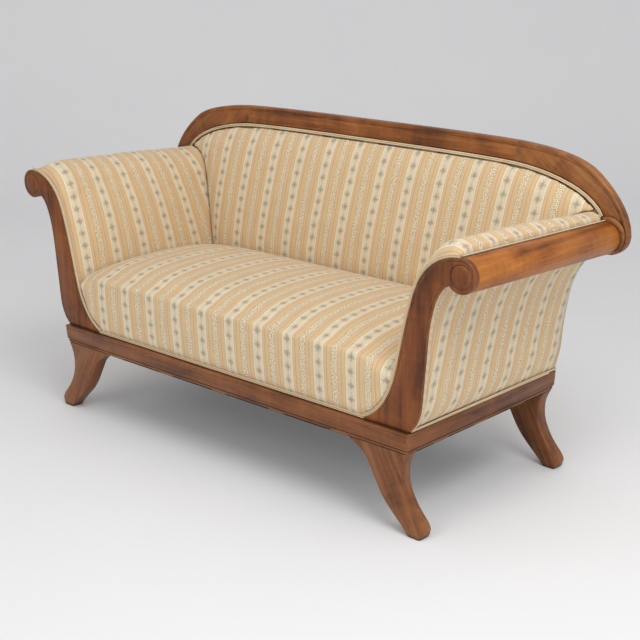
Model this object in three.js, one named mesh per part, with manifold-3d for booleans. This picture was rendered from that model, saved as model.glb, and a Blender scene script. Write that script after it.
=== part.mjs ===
// Scroll-arm settee with a show-wood frame, a full upholstered back and a sprung seat.
// Millimetres, +X along the settee, front towards -Y, +Z up, floor at Z = 0.
import * as THREE from 'three';
import { mergeVertices } from 'three/addons/utils/BufferGeometryUtils.js';
import Module from 'manifold-3d';

const wasm = await Module();
wasm.setup();

const { lerp, clamp, degToRad } = THREE.MathUtils;

// Clearances
const touchGap = 0.3;
const softGap = 1;
const frameGap = 0.8;
const cutOverrun = 2;

// Base rails
const baseHalfWidth = 735;
const baseHalfDepth = 346;
const railTop = 293;
const railHeight = 59;
const railThickness = 32;
const railMouldingDepth = 10;
const railMouldingShares = [
  [1, 0], [0.65, 0.02], [0.5, 0.076], [0.6, 0.136], [0.8, 0.163], [0.45, 0.176],
  [0.26, 0.22], [0.04, 0.814], [0.16, 0.834], [0.02, 0.854], [0, 0.966], [0.12, 1],
];

// Legs, cut from plank and splayed along the settee
const legWidth = 267;
const legInnerRoom = 220;
const legThickness = 42;
const legSetback = 6;
const legOuterShares = [
  [0.798, 1], [0.738, 0.859], [0.723, 0.705], [0.749, 0.538], [0.843, 0.342], [0.965, 0.185],
  [1, 0.094], [0.968, 0],
];
const legInnerShares = [
  [0.824, 0], [0.715, 0.128], [0.551, 0.303], [0.442, 0.457], [0.333, 0.675], [0.225, 0.86],
  [0, 1],
];
const legTongueLength = 140;
const legTongueHeight = 52;
const cornerBlockLeg = 62;
const cornerBlockHeight = 40;
const cornerBlockDrop = 7;

// Back frame, which leans back from the rail top
const backRake = 37;
const crestRise = 233;
const crestWidth = 58;
const crestThickness = 28;
const crestArris = 3;
const crestEndRadius = 57;
const crestEndLift = 6;
const crestEndShift = 3;
const crestJointShare = 0.5913;
const crestOuterShares = [
  [0, 0], [0.2, 0], [0.486, 0.0034], [0.5913, 0.0234], [0.7117, 0.0489], [0.8289, 0.1128],
  [0.8828, 0.3021], [0.9398, 0.4809], [0.9979, 0.7362], [1, 1],
];
const crestInnerShares = [
  [0, 0], [0.2112, 0], [0.4646, 0], [0.5913, 0.0565], [0.7392, 0.1391], [0.8786, 0.4828],
];
const crestEndAngle = -246;
const crestEndRoom = 6;
const wingStartAngle = -148;
const wingEndAngle = -243;
const splineLength = 40;
const splineThickness = 8;
const splineHeight = 30;
const postThickness = 20;
const postWidth = 45;
const uprightWidth = 44;
const tackingRailTop = 440;
const tackingRailHeight = 40;
const backPanelThickness = 3;

// Arms, whose section changes from the front scroll to the rear scroll
const facingToeReach = 165;
const facingToeHeight = 6;
const facingSetback = 13;
const facingThickness = 16;
const facingLip = 5;
const scrollFrontOverhang = 150;
const scrollFrontZ = 747;
const scrollFrontRadius = 46;
const scrollRearOverhang = 152;
const scrollRearZ = 724;
const scrollRearRadius = 46;
const seamAngle = 98;
const cuspAngle = -138;
const armInnerShares = [
  [0, 0.012], [0.175, 0.055], [0.298, 0.174], [0.356, 0.334], [0.3996, 0.454], [0.483, 0.714],
  [0.565, 0.824], [0.6246, 0.904], [0.762, 0.994],
];
const armOuterFrontShares = [
  [0.492, 0], [0.578, 0.038], [0.629, 0.104], [0.635, 0.192], [0.648, 0.294], [0.67, 0.434],
  [0.683, 0.53], [0.705, 0.694], [0.778, 0.83],
];
const armOuterRearShares = [
  [0.519, 0], [0.541, 0.06], [0.575, 0.129], [0.577, 0.198], [0.579, 0.307], [0.606, 0.436],
  [0.631, 0.526], [0.664, 0.645], [0.738, 0.712],
];
const armSkin = 10;
const facingTaperShare = 0.45;
const armPadFirstPoint = 5;
const armPadCrown = 22;
const armPadRearCrown = 8;
const armPadFullness = 0.8;
const armPadStartShare = 0.006;
const armPadRiseShare = 0.25;
const armPadFallShares = [0.58, 0.88];
const armPadTopCrown = 42;
const armPadRearTopCrown = 32;
const armPadTopShares = [[0, 0], [0.5, 0.2], [0.65, 0.66], [0.8, 1], [0.9, 0.95], [0.96, 0.75], [1, 0.32]];
const armPadTopRiseShare = 0.08;
const armPadDepthShares = [0, armPadStartShare, 0.03, 0.08, 0.16, 0.25, 0.42, 0.58, 0.73, 0.88, 1];
const armPadSeamRoom = 9;
const armPanelInset = 5.5;
const armPanelThickness = 5;
const armPanelDepthShares = [0, 0.25, 0.5, 0.75, 1];
const armPostWidth = 23.7;
const armPostPanelRoom = 2.5;
const armPostFootReach = 50;
const armTackingThickness = 22;
const bossRadius = 29;
const bossHeight = 5;
const collarRadius = 53;
const collarThickness = 10;

// Soft pads and their trims
const deckZ = 431.6;
const seatTopZ = 531;
const seatFrontSetback = 4;
const seatSideDrop = 46;
const seatCornerDraw = 6;
const seatCornerFromShare = 0.94;
const seatSectionShares = [
  [0.0253, 0], [0.0253, 0.038], [0.0143, 0.054], [0.0084, 0.3], [0, 0.575], [0.0017, 0.643],
  [0.0084, 0.69], [0.0236, 0.755], [0.0472, 0.818], [0.111, 0.897], [0.18, 0.944], [0.265, 0.974],
  [0.366, 0.994], [0.518, 1], [0.66, 0.986], [0.78, 0.955], [0.89, 0.895], [0.956, 0.835],
  [1, 0.772],
];
const seatStationShares = [0, 0.35, 0.62, 0.78, 0.84, 0.856, 0.885, 0.915, 0.94, 0.96, 0.978, 0.992, 1];
const seatCrownRiseShare = 0.2;
const seatEndLip = 2;
const backPadBottomZ = 440;
const backPadThickness = 75;
const backPadDrawShare = 0.22;
const backPadDrawFromShare = 0.85;
const backPadArmRoom = 4;
const backPadCornerRoom = 26;
const backPadCornerTurn = 15;
const backPadDepthShares = [
  [0, 0.96], [0.15, 1], [0.3, 0.95], [0.5, 0.8], [0.65, 0.66], [0.8, 0.49], [0.93, 0.3], [1, 0.1],
];
const pipingWidth = 8;
const pipingThickness = 4.5;
const pipingRoom = 5.3;
const pipingSideRoom = 2;
const pipingSeamAngle = 3;
const armEdgePipingWidth = 14;

// Springing
const webbingWidth = 60;
const webbingThickness = 2.4;
const springSpacing = 240;
const springRowSpacing = 180;
const springCentreY = -10;
const springRadius = 45;
const springWaist = 32;
const springWire = 3.6;
const springTurns = 5;
const cordThickness = 4;
const cordRailDrop = 8;
const hessianThickness = 2;
const hessianEndRoom = 75;
const dustCoverThickness = 1;
const dustCoverNotchGap = 5;

// Finishes
const showWood = { color: 0x7b4a2b, roughness: 0.38, metalness: 0 };
const frameWood = { color: 0xb58f63, roughness: 0.8, metalness: 0 };
const brocade = { color: 0xd8c79f, roughness: 0.85, metalness: 0 };
const gimp = { color: 0xc8b386, roughness: 0.8, metalness: 0 };
const jute = { color: 0xa58457, roughness: 0.95, metalness: 0 };
const steel = { color: 0x8d9093, roughness: 0.35, metalness: 1 };
const lining = { color: 0x2a2724, roughness: 0.95, metalness: 0 };

// Places worked out from the sizes above
const railBottom = railTop - railHeight;
const railInnerX = baseHalfWidth - railThickness;
const railInnerY = baseHalfDepth - railThickness;
const standZ = railTop + touchGap;
const legInnerX = baseHalfWidth - legInnerRoom;
const toeX = baseHalfWidth - facingToeReach;
const scrollFrontX = baseHalfWidth + scrollFrontOverhang;
const scrollRearX = baseHalfWidth + scrollRearOverhang;
const facingFrontY = -(baseHalfDepth - facingSetback);
const facingBackY = facingFrontY + facingThickness;
const lipBackY = facingFrontY + facingLip;
const crestRearY = baseHalfDepth;
const crestFrontY = crestRearY - crestThickness;
const crestEndX = scrollRearX + crestEndShift;
const crestEndZ = scrollRearZ + crestEndLift;
const crestReach = crestEndX + crestEndRadius;
const crestTop = crestEndZ + crestRise;
const crestJointX = crestJointShare * crestReach;
const collarRearY = crestFrontY - touchGap;
const collarFrontY = collarRearY - collarThickness;
const armFrontY = facingBackY + touchGap;
const armRearY = collarFrontY - touchGap;
const backPanelRearY = baseHalfDepth - touchGap;
const postRearY = backPanelRearY - backPanelThickness - touchGap;
const postFrontY = postRearY - postThickness;
const backWebbingRearY = postFrontY - touchGap;
const backPadRearY = backWebbingRearY - webbingThickness - touchGap;
const leanAt = (z) => backRake * (z - railTop) / (crestTop - railTop);
const seatFrontY = -(baseHalfDepth - seatFrontSetback);
const seatRearY = backPadRearY + leanAt(deckZ) - backPadThickness - softGap;
const seatInnerFrontY = -railInnerY - touchGap;

const flat = (x, z) => new THREE.Vector2(x, z);
const spot = (x, y, z) => new THREE.Vector3(x, y, z);
const shift = (points, y) => points.map((point) => spot(point.x, y, point.y));

// A closed body from points and triangles, turned so that its faces point out
function solid(points, faces) {
  let volume = 0;
  for (const [a, b, c] of faces) {
    volume += points[a].dot(points[b].clone().cross(points[c]));
  }
  const turned = volume < 0 ? faces.map(([a, b, c]) => [a, c, b]) : faces;
  const rough = new THREE.BufferGeometry();
  const places = points.flatMap((point) => point.toArray());
  rough.setAttribute('position', new THREE.Float32BufferAttribute(places, 3));
  rough.setIndex(turned.flat());
  const merged = mergeVertices(rough);
  const index = merged.index.array;
  const kept = [];
  for (let k = 0; k < index.length; k += 3) {
    const corners = [index[k], index[k + 1], index[k + 2]];
    if (new Set(corners).size === 3) {
      kept.push(...corners);
    }
  }
  merged.setIndex(kept);
  return merged;
}

// Triangles that close a flat ring, wound as the ring is
function capOf(ring) {
  const normal = spot(0, 0, 0);
  ring.forEach((point, k) => {
    normal.add(point.clone().cross(ring[(k + 1) % ring.length]));
  });
  const sizes = normal.toArray().map(Math.abs);
  const dropped = sizes.indexOf(Math.max(...sizes));
  const [across, up] = [(dropped + 1) % 3, (dropped + 2) % 3];
  const outline = ring.map((point) => flat(point.getComponent(across), point.getComponent(up)));
  const turn = Math.sign(THREE.ShapeUtils.area(outline));
  return THREE.ShapeUtils.triangulateShape(outline, []).map(([a, b, c]) => {
    const same = Math.sign(THREE.ShapeUtils.area([outline[a], outline[b], outline[c]])) === turn;
    return same ? [a, b, c] : [a, c, b];
  });
}

// A body that runs through rings of as many points each
function loft(rings) {
  const count = rings[0].length;
  const last = (rings.length - 1) * count;
  const faces = [];
  for (let start = 0; start < last; start += count) {
    for (let k = 0; k < count; k += 1) {
      const a = start + k;
      const b = start + (k + 1) % count;
      faces.push([a, b, b + count], [a, b + count, a + count]);
    }
  }
  capOf(rings[0]).forEach(([a, b, c]) => faces.push([a, c, b]));
  capOf(rings.at(-1)).forEach(([a, b, c]) => faces.push([last + a, last + b, last + c]));
  return solid(rings.flat(), faces);
}

// A body between two grids of points, closed around their border
function shell(outer, inner) {
  const rows = outer.length;
  const columns = outer[0].length;
  const half = rows * columns;
  const faces = [];
  for (let row = 0; row < rows - 1; row += 1) {
    for (let column = 0; column < columns - 1; column += 1) {
      const a = row * columns + column;
      const b = a + 1;
      const c = b + columns;
      const d = a + columns;
      faces.push([a, b, c], [a, c, d]);
      faces.push([half + a, half + c, half + b], [half + a, half + d, half + c]);
    }
  }
  const border = [];
  for (let column = 0; column < columns - 1; column += 1) border.push(column);
  for (let row = 0; row < rows - 1; row += 1) border.push(row * columns + columns - 1);
  for (let column = columns - 1; column > 0; column -= 1) border.push((rows - 1) * columns + column);
  for (let row = rows - 1; row > 0; row -= 1) border.push(row * columns);
  border.forEach((p, k) => {
    const q = border[(k + 1) % border.length];
    faces.push([q, p, half + p], [q, half + p, half + q]);
  });
  return solid([...outer.flat(), ...inner.flat()], faces);
}

// A plate whose outline stands in the XZ plane
function plate(outline, frontY, rearY) {
  const settings = { depth: rearY - frontY, bevelEnabled: false };
  const geometry = new THREE.ExtrudeGeometry(new THREE.Shape(outline), settings);
  return geometry.rotateX(Math.PI / 2).translate(0, rearY, 0);
}

// A plate whose outline lies in the XY plane
function board(outline, bottomZ, topZ) {
  const settings = { depth: topZ - bottomZ, bevelEnabled: false };
  return new THREE.ExtrudeGeometry(new THREE.Shape(outline), settings).translate(0, 0, bottomZ);
}

function box(x0, x1, y0, y1, z0, z1) {
  const geometry = new THREE.BoxGeometry(x1 - x0, y1 - y0, z1 - z0);
  return geometry.translate((x0 + x1) / 2, (y0 + y1) / 2, (z0 + z1) / 2);
}

// A flat-sided cord or trim along a path; "side" is square to the path all the way
function trim(path, side, halfSide, halfWidth) {
  const sides = 6;
  const rings = path.map((point, k) => {
    const ahead = path[Math.min(k + 1, path.length - 1)];
    const along = ahead.clone().sub(path[Math.max(k - 1, 0)]).normalize();
    const across = along.cross(side).normalize();
    return Array.from({ length: sides }, (_, corner) => {
      const angle = 2 * Math.PI * (corner + 0.5) / sides;
      const place = point.clone().addScaledVector(side, halfSide * Math.cos(angle));
      return place.addScaledVector(across, halfWidth * Math.sin(angle));
    });
  });
  return loft(rings);
}

// Shear everything that stands on the back rail so that it leans with the back
function leaning(geometry) {
  const slope = backRake / (crestTop - railTop);
  const shear = new THREE.Matrix4().set(1, 0, 0, 0, 0, 1, slope, -slope * railTop, 0, 0, 1, 0, 0, 0, 0, 1);
  return geometry.applyMatrix4(shear);
}

function plain(geometry) {
  const bare = geometry.clone();
  bare.deleteAttribute('normal');
  bare.deleteAttribute('uv');
  return mergeVertices(bare);
}

function mirrored(geometry, x, y) {
  const copy = plain(geometry).scale(x, y, 1);
  const index = Array.from(copy.index.array);
  for (let k = 0; k < index.length; k += 3) {
    [index[k + 1], index[k + 2]] = [index[k + 2], index[k + 1]];
  }
  copy.setIndex(index);
  return copy;
}

function manifoldOf(geometry) {
  const bare = plain(geometry);
  const vertProperties = new Float32Array(bare.attributes.position.array);
  const triVerts = new Uint32Array(bare.index.array);
  return new wasm.Manifold(new wasm.Mesh({ numProp: 3, vertProperties, triVerts }));
}

function geometryOf(manifold) {
  const mesh = manifold.getMesh();
  const geometry = new THREE.BufferGeometry();
  geometry.setAttribute('position', new THREE.Float32BufferAttribute(mesh.vertProperties, 3));
  geometry.setIndex(Array.from(mesh.triVerts));
  return geometry;
}

function joined(parts) {
  return geometryOf(parts.map(manifoldOf).reduce((sum, part) => sum.add(part)));
}

function cut(geometry, tools) {
  return geometryOf(tools.map(manifoldOf).reduce((rest, tool) => rest.subtract(tool), manifoldOf(geometry)));
}

// Outline helpers. Lines of points run upwards or outwards, and X and Z are kept as x and y
function bezierChain(points, steps) {
  const chain = [points[0]];
  for (let first = 0; first + 3 < points.length; first += 3) {
    const curve = new THREE.CubicBezierCurve(...points.slice(first, first + 4));
    chain.push(...curve.getPoints(steps).slice(1));
  }
  return chain;
}

function onCircle(x, z, radius, angle) {
  return flat(x + radius * Math.cos(degToRad(angle)), z + radius * Math.sin(degToRad(angle)));
}

function arc(x, z, radius, fromAngle, toAngle, steps) {
  return Array.from({ length: steps + 1 }, (_, k) => {
    return onCircle(x, z, radius, lerp(fromAngle, toAngle, k / steps));
  });
}

// Move a line sideways, to the left of its own direction
function offset(points, distance) {
  return points.map((point, k) => {
    const ahead = points[Math.min(k + 1, points.length - 1)];
    const along = ahead.clone().sub(points[Math.max(k - 1, 0)]).normalize();
    const step = typeof distance === 'function' ? distance(point, k) : distance;
    return flat(point.x - along.y * step, point.y + along.x * step);
  });
}

// Where a line has a given x or y, read off as a point
function crossing(points, axis, value) {
  for (let k = 1; k < points.length; k += 1) {
    const [before, after] = [points[k - 1], points[k]];
    if (before[axis] <= value && value <= after[axis]) {
      const share = (value - before[axis]) / (after[axis] - before[axis] || 1);
      return before.clone().lerp(after, share);
    }
  }
  return (value < points[0][axis] ? points[0] : points.at(-1)).clone();
}

function keepBelow(points, axis, limit) {
  return [...points.filter((point) => point[axis] < limit), crossing(points, axis, limit)];
}

function keepAbove(points, axis, limit) {
  return [crossing(points, axis, limit), ...points.filter((point) => point[axis] > limit)];
}

// Draw the last point of a line back by some room
function shortened(points, room) {
  const [before, last] = points.slice(-2);
  return [...points.slice(0, -1), last.clone().lerp(before, room / last.distanceTo(before))];
}

// The amount that a table of [at, amount] pairs gives for a value
function tableAt(table, value) {
  return crossing(table.map(([at, amount]) => flat(at, amount)), 'x', value).y;
}

function lengthOf(points) {
  return points.slice(1).reduce((sum, point, k) => sum + point.distanceTo(points[k]), 0);
}

function pointAt(points, share) {
  let left = share * lengthOf(points);
  for (let k = 1; k < points.length; k += 1) {
    const step = points[k].distanceTo(points[k - 1]);
    if (left <= step) {
      return points[k - 1].clone().lerp(points[k], left / step);
    }
    left -= step;
  }
  return points.at(-1).clone();
}

function resample(points, count, endRoom = 0) {
  const end = 1 - endRoom / lengthOf(points);
  return Array.from({ length: count }, (_, k) => pointAt(points, end * k / (count - 1)));
}

// The object, in which each piece is added under its own name
const settee = new THREE.Group();
const frame = new THREE.Group();
settee.add(frame);
frame.position.y = -backRake / 2;

function add(name, geometry, finish) {
  const mesh = new THREE.Mesh(geometry, new THREE.MeshStandardMaterial(finish));
  mesh.name = name;
  frame.add(mesh);
}

function addPair(name, geometry, finish) {
  add(`right_${name}`, geometry, finish);
  add(`left_${name}`, mirrored(geometry, -1, 1), finish);
}

// Base rails, mitred at the corners
const railProfile = [
  ...railMouldingShares.map(([inward, up]) => flat(inward * railMouldingDepth, railBottom + up * railHeight)),
  flat(railThickness, railTop),
  flat(railThickness, railBottom),
];

function longRail(side) {
  return loft([-1, 1].map((end) => railProfile.map((point) => {
    return spot(end * (baseHalfWidth - point.x - touchGap), side * (baseHalfDepth - point.x), point.y);
  })));
}

function sideRail() {
  return loft([-1, 1].map((end) => railProfile.map((point) => {
    return spot(baseHalfWidth - point.x, end * (baseHalfDepth - point.x), point.y);
  })));
}

// Legs, each with a tongue that is screwed to the inside of its rail
const legTopZ = railBottom - touchGap;
const legSpots = (shares) => shares.map(([across, up]) => flat(legInnerX + across * legWidth, up * legTopZ));

function frontLeg() {
  const curveSteps = 14;
  const outline = [
    ...new THREE.SplineCurve(legSpots(legOuterShares)).getPoints(curveSteps),
    ...new THREE.SplineCurve(legSpots(legInnerShares)).getPoints(curveSteps),
  ];
  const level = outline.map((point) => flat(point.x, clamp(point.y, 0, legTopZ)));
  const frontY = -(baseHalfDepth - legSetback);
  const backY = frontY + legThickness;
  const tongueOuterX = railInnerX - frameGap;
  const tongueTopZ = railBottom + legTongueHeight;
  const tongueFrontY = -railInnerY + touchGap;
  const tongue = box(tongueOuterX - legTongueLength, tongueOuterX, tongueFrontY, backY,
    legTopZ - cutOverrun, tongueTopZ);
  return joined([plate(level, frontY, backY), tongue]);
}

function cornerBlock() {
  const outerX = railInnerX - touchGap;
  const frontY = -(baseHalfDepth - legSetback) + legThickness + touchGap;
  const outline = [
    flat(outerX, frontY),
    flat(outerX, frontY + cornerBlockLeg),
    flat(outerX - cornerBlockLeg, frontY),
  ];
  const topZ = railTop - cornerBlockDrop;
  return board(outline, topZ - cornerBlockHeight, topZ);
}

function addCorners(name, geometry, finish) {
  add(`front_right_${name}`, geometry, finish);
  add(`front_left_${name}`, mirrored(geometry, -1, 1), finish);
  add(`rear_right_${name}`, mirrored(geometry, 1, -1), finish);
  const turned = plain(geometry).rotateZ(Math.PI);
  add(`rear_left_${name}`, turned, finish);
}

add('front_rail', longRail(-1), showWood);
add('back_rail', longRail(1), showWood);
addPair('side_rail', sideRail(), showWood);
addCorners('leg', frontLeg(), showWood);
addCorners('corner_block', cornerBlock(), frameWood);

// Arm sections. The share is 0 behind the facing and 1 at the collar
const armShareAt = (y) => (y - armFrontY) / (armRearY - armFrontY);

function armSection(share) {
  const x = lerp(scrollFrontX, scrollRearX, share);
  const z = lerp(scrollFrontZ, scrollRearZ, share);
  const radius = lerp(scrollFrontRadius, scrollRearRadius, share);
  const place = ([across, up]) => flat(lerp(toeX, x, across), lerp(railTop, z + radius, up));
  const innerSteps = 6;
  const outerSteps = 8;
  const seam = onCircle(x, z, radius, seamAngle);
  const cusp = onCircle(x, z, radius, cuspAngle);
  const inner = bezierChain([...armInnerShares.map(place), seam], innerSteps);
  const outerShares = armOuterFrontShares.map(([across, up], k) => {
    return [lerp(across, armOuterRearShares[k][0], share), lerp(up, armOuterRearShares[k][1], share)];
  });
  const outer = bezierChain([...outerShares.map(place), cusp], outerSteps);
  return { x, z, radius, inner, outer };
}

function armSpot(point, share) {
  const y = lerp(armFrontY, armRearY, share) + leanAt(point.y) * clamp(share, 0, 1);
  return spot(point.x, y, Math.max(point.y, standZ));
}

const frontSection = armSection(0);
const rearSection = armSection(1);
const armPanelInside = armPanelInset + armPanelThickness;
const scrollSteps = 16;

function facing() {
  const { x, z, radius, inner, outer } = frontSection;
  const outline = (rebate, inset) => {
    const taper = (point) => -Math.min(rebate, facingTaperShare * (point.y - railTop - facingToeHeight));
    const edge = rebate > 0 ? offset(inner, taper) : inner;
    const scroll = arc(x, z, radius, seamAngle, cuspAngle, scrollSteps);
    const side = offset(outer, inset).slice(0, -1).reverse();
    const points = [flat(toeX, standZ), ...edge, ...scroll, ...side];
    return points.map((point) => flat(point.x, Math.max(point.y, standZ)));
  };
  return loft([
    shift(outline(0, 0), facingFrontY),
    shift(outline(0, 0), lipBackY),
    shift(outline(armSkin + frameGap, armPanelInset), lipBackY),
    shift(outline(armSkin + frameGap, armPanelInset), facingBackY),
  ]);
}

function scrollBoss() {
  const profileShares = [[0, 1], [0.45, 0.96], [0.8, 0.7], [0.93, 0.32], [1, 0], [0, 0]];
  const profile = profileShares.map(([out, up]) => flat(out * bossRadius, up * bossHeight));
  const bossSteps = 20;
  const dome = new THREE.LatheGeometry(profile.reverse(), bossSteps);
  return dome.rotateX(Math.PI).translate(scrollFrontX, facingFrontY - touchGap, scrollFrontZ);
}

function armRoll() {
  const rings = [0, 1 / 3, 2 / 3, 1].map((share) => {
    const { x, z, radius } = armSection(share);
    const rebateSteps = 5;
    const rebateRadius = radius - armSkin - touchGap;
    const outside = arc(x, z, radius, seamAngle, cuspAngle, scrollSteps);
    const rebate = arc(x, z, rebateRadius, -180, seamAngle - 360, rebateSteps);
    return [...outside, ...rebate].map((point) => armSpot(point, share));
  });
  return loft(rings);
}

function frontArmPost() {
  const rearY = armFrontY + armPostWidth;
  const footX = toeX + armPostFootReach;
  const { x, radius, inner, outer } = armSection(armShareAt(rearY));
  const limitX = x - radius + armSkin - frameGap;
  const fromPad = armSkin + softGap;
  const fromPanel = armPanelInside + armPostPanelRoom;
  const inside = keepBelow(keepAbove(offset(inner, -fromPad), 'x', footX), 'x', limitX);
  const outside = keepBelow(offset(outer, fromPanel), 'x', limitX);
  const line = [flat(footX, standZ), ...inside, ...outside.reverse()];
  return plate(line.map((point) => flat(point.x, Math.max(point.y, standZ))), armFrontY, rearY);
}

// How far the pad of the inside arm swells out of the facing's edge
function armCrownAt(edgeShare, depthShare) {
  const [fallStart, fallEnd] = armPadFallShares;
  const falling = clamp((fallEnd - depthShare) / (fallEnd - fallStart), 0, 1);
  const risen = (share) => Math.sin(clamp((depthShare - armPadStartShare) / share, 0, 1) * Math.PI / 2);
  const front = armPadCrown * risen(armPadRiseShare);
  const swell = Math.sin(Math.PI * edgeShare) ** armPadFullness;
  const middle = swell * Math.min(front, lerp(armPadRearCrown, armPadCrown, falling));
  const top = lerp(armPadRearTopCrown, armPadTopCrown, falling) * risen(armPadTopRiseShare);
  return Math.max(middle, top * tableAt(armPadTopShares, edgeShare));
}

const armPadFrontY = lipBackY + touchGap;

function insideArmPad() {
  const outer = [];
  const inner = [];
  armPadDepthShares.forEach((depthShare) => {
    const share = armShareAt(lerp(armPadFrontY, armRearY, depthShare));
    const edge = armSection(Math.max(share, 0)).inner.slice(armPadFirstPoint);
    const crown = (point, k) => armCrownAt(k / (edge.length - 1), depthShare);
    const face = shortened(offset(edge, crown), armPadSeamRoom);
    const back = shortened(offset(edge, -armSkin), armPadSeamRoom);
    outer.push(face.map((point) => armSpot(point, share)));
    inner.push(back.map((point) => armSpot(point, share)));
  });
  return shell(outer, inner);
}

function outsideArmPanel() {
  const outer = [];
  const inner = [];
  const lastShare = armShareAt(backPanelRearY);
  armPanelDepthShares.forEach((depthShare) => {
    const share = depthShare * lastShare;
    [[outer, armPanelInset], [inner, armPanelInside]].forEach(([grid, inset]) => {
      const line = offset(armSection(share).outer, inset).slice(0, -1);
      grid.push([flat(line[0].x, standZ), ...line].map((point) => armSpot(point, share)));
    });
  });
  return shell(outer, inner);
}

// The back posts stand just inside the cloth of the outside arms
const postOuterX = offset(armSection(armShareAt(postRearY)).outer, armPanelInside)[0].x - frameGap;
const postInnerX = postOuterX - postWidth;
const armPadBottomZ = offset(rearSection.inner, -armSkin)[armPadFirstPoint].y;

function armTackingRail() {
  const topZ = armPadBottomZ - frameGap;
  const corners = [
    flat(postInnerX, topZ - tackingRailHeight),
    flat(postInnerX + armTackingThickness, topZ - tackingRailHeight),
    flat(postInnerX + armTackingThickness, topZ),
    flat(postInnerX, topZ),
  ];
  const frontY = armFrontY + armPostWidth + touchGap + leanAt(topZ) * armShareAt(armFrontY + armPostWidth);
  const rear = corners.map((point) => spot(point.x, postFrontY - touchGap + leanAt(point.y), point.y));
  return loft([shift(corners, frontY), rear]);
}

addPair('arm_facing', facing(), showWood);
addPair('scroll_boss', scrollBoss(), showWood);
addPair('front_arm_post', frontArmPost(), frameWood);
addPair('arm_roll', armRoll(), showWood);
addPair('inside_arm_pad', insideArmPad(), brocade);
addPair('outside_arm_panel', outsideArmPanel(), brocade);
addPair('arm_tacking_rail', armTackingRail(), frameWood);

// Crest rail in three lengths, with a scroll at each end
const crestOuterLine = bezierChain(crestOuterShares.map(([out, down]) => {
  return flat(out * crestReach, crestTop - down * crestRise);
}), 8);
const crestInnerEnd = onCircle(crestEndX, crestEndZ, crestEndRadius, crestEndAngle);
const crestInnerTop = crestTop - crestWidth;
const crestInnerLine = bezierChain([
  ...crestInnerShares.map(([out, down]) => {
    return flat(out * crestReach, lerp(crestInnerTop, crestInnerEnd.y, down));
  }),
  crestInnerEnd,
], 8);
const crestUnderZ = (x) => crossing(crestInnerLine, 'x', x).y;

function crestRings(outlineAt) {
  return [
    shift(outlineAt(crestArris), crestFrontY),
    shift(outlineAt(0), crestFrontY + crestArris),
    shift(outlineAt(0), crestRearY - crestArris),
    shift(outlineAt(crestArris), crestRearY),
  ];
}

const splineZ = (crestTop + crestInnerTop) / 2 - crestArris;

function splineBox(room) {
  const middleY = (crestFrontY + crestRearY) / 2;
  const [halfX, halfY, halfZ] = [splineLength, splineThickness, splineHeight].map((size) => size / 2 + room);
  return box(crestJointX - halfX, crestJointX + halfX, middleY - halfY, middleY + halfY,
    splineZ - halfZ, splineZ + halfZ);
}

function crestCentre() {
  const limit = crestJointX - touchGap / 2;
  const rings = crestRings((inset) => {
    const top = resample(keepBelow(offset(crestOuterLine, -inset), 'x', limit), 9);
    const under = resample(keepBelow(offset(crestInnerLine, inset), 'x', limit), 9);
    const right = [...top, ...under.reverse()];
    const left = right.slice(1, -1).reverse().map((point) => flat(-point.x, point.y));
    return [...right, ...left];
  });
  const slot = splineBox(touchGap);
  return leaning(cut(loft(rings), [slot, mirrored(slot, -1, 1)]));
}

function crestSide() {
  const limit = crestJointX + touchGap / 2;
  const endSteps = 16;
  const rings = crestRings((inset) => [
    ...resample(keepAbove(offset(crestOuterLine, -inset), 'x', limit), 18),
    ...arc(crestEndX, crestEndZ, crestEndRadius - inset, 0, crestEndAngle, endSteps).slice(1),
    ...resample(keepAbove(offset(crestInnerLine, inset), 'x', limit), 12).reverse(),
  ]);
  return leaning(cut(loft(rings), [splineBox(touchGap)]));
}

function crestCollar() {
  const collarSteps = 28;
  const collar = new THREE.CylinderGeometry(collarRadius, collarRadius, collarThickness, collarSteps);
  return leaning(collar.translate(crestEndX, (collarFrontY + collarRearY) / 2, crestEndZ));
}

add('crest_centre', crestCentre(), showWood);
addPair('crest_side', crestSide(), showWood);
addPair('crest_spline', leaning(splineBox(0)), frameWood);
addPair('crest_collar', crestCollar(), showWood);

// Posts and rails of the back, and the wing that carries the crest's end
function backPost() {
  const [innerX, outerX] = [postInnerX, postOuterX];
  const outline = [
    flat(innerX, standZ),
    flat(outerX, standZ),
    flat(outerX, crestUnderZ(outerX) - frameGap),
    flat(innerX, crestUnderZ(innerX) - frameGap),
  ];
  return leaning(plate(outline, postFrontY, postRearY));
}

// Outline of a plate in the back, from some X outwards: up along the cloth of the outside arm,
// round the crest's end scroll and back under the crest
function backOutline(fromX, frontY) {
  const edge = offset(armSection(armShareAt(frontY)).outer, armPanelInside + frameGap);
  const roundSteps = 8;
  const radius = crestEndRadius + frameGap;
  const round = arc(crestEndX, crestEndZ, radius, wingStartAngle, wingEndAngle, roundSteps);
  const under = offset(shortened(crestInnerLine, crestEndRoom), -frameGap);
  const rising = keepBelow(edge, 'x', round[0].x - frameGap);
  const raised = rising.map((point) => flat(point.x, Math.max(point.y, standZ)));
  return [...keepAbove(raised, 'x', fromX), ...round, ...keepAbove(under, 'x', fromX).reverse()];
}

function backWing() {
  return leaning(plate(backOutline(postOuterX + touchGap, postFrontY), postFrontY, postRearY));
}

function backTackingRail() {
  const halfLength = postInnerX - touchGap;
  const bottomZ = tackingRailTop - tackingRailHeight;
  return leaning(box(-halfLength, halfLength, postFrontY, postRearY, bottomZ, tackingRailTop));
}

function backUpright() {
  const half = uprightWidth / 2;
  const bottomZ = tackingRailTop + touchGap;
  return leaning(box(-half, half, postFrontY, postRearY, bottomZ, crestUnderZ(half) - frameGap));
}

const springColumns = [-2, -1, 0, 1, 2];
const springRows = [-1, 0, 1];

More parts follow.
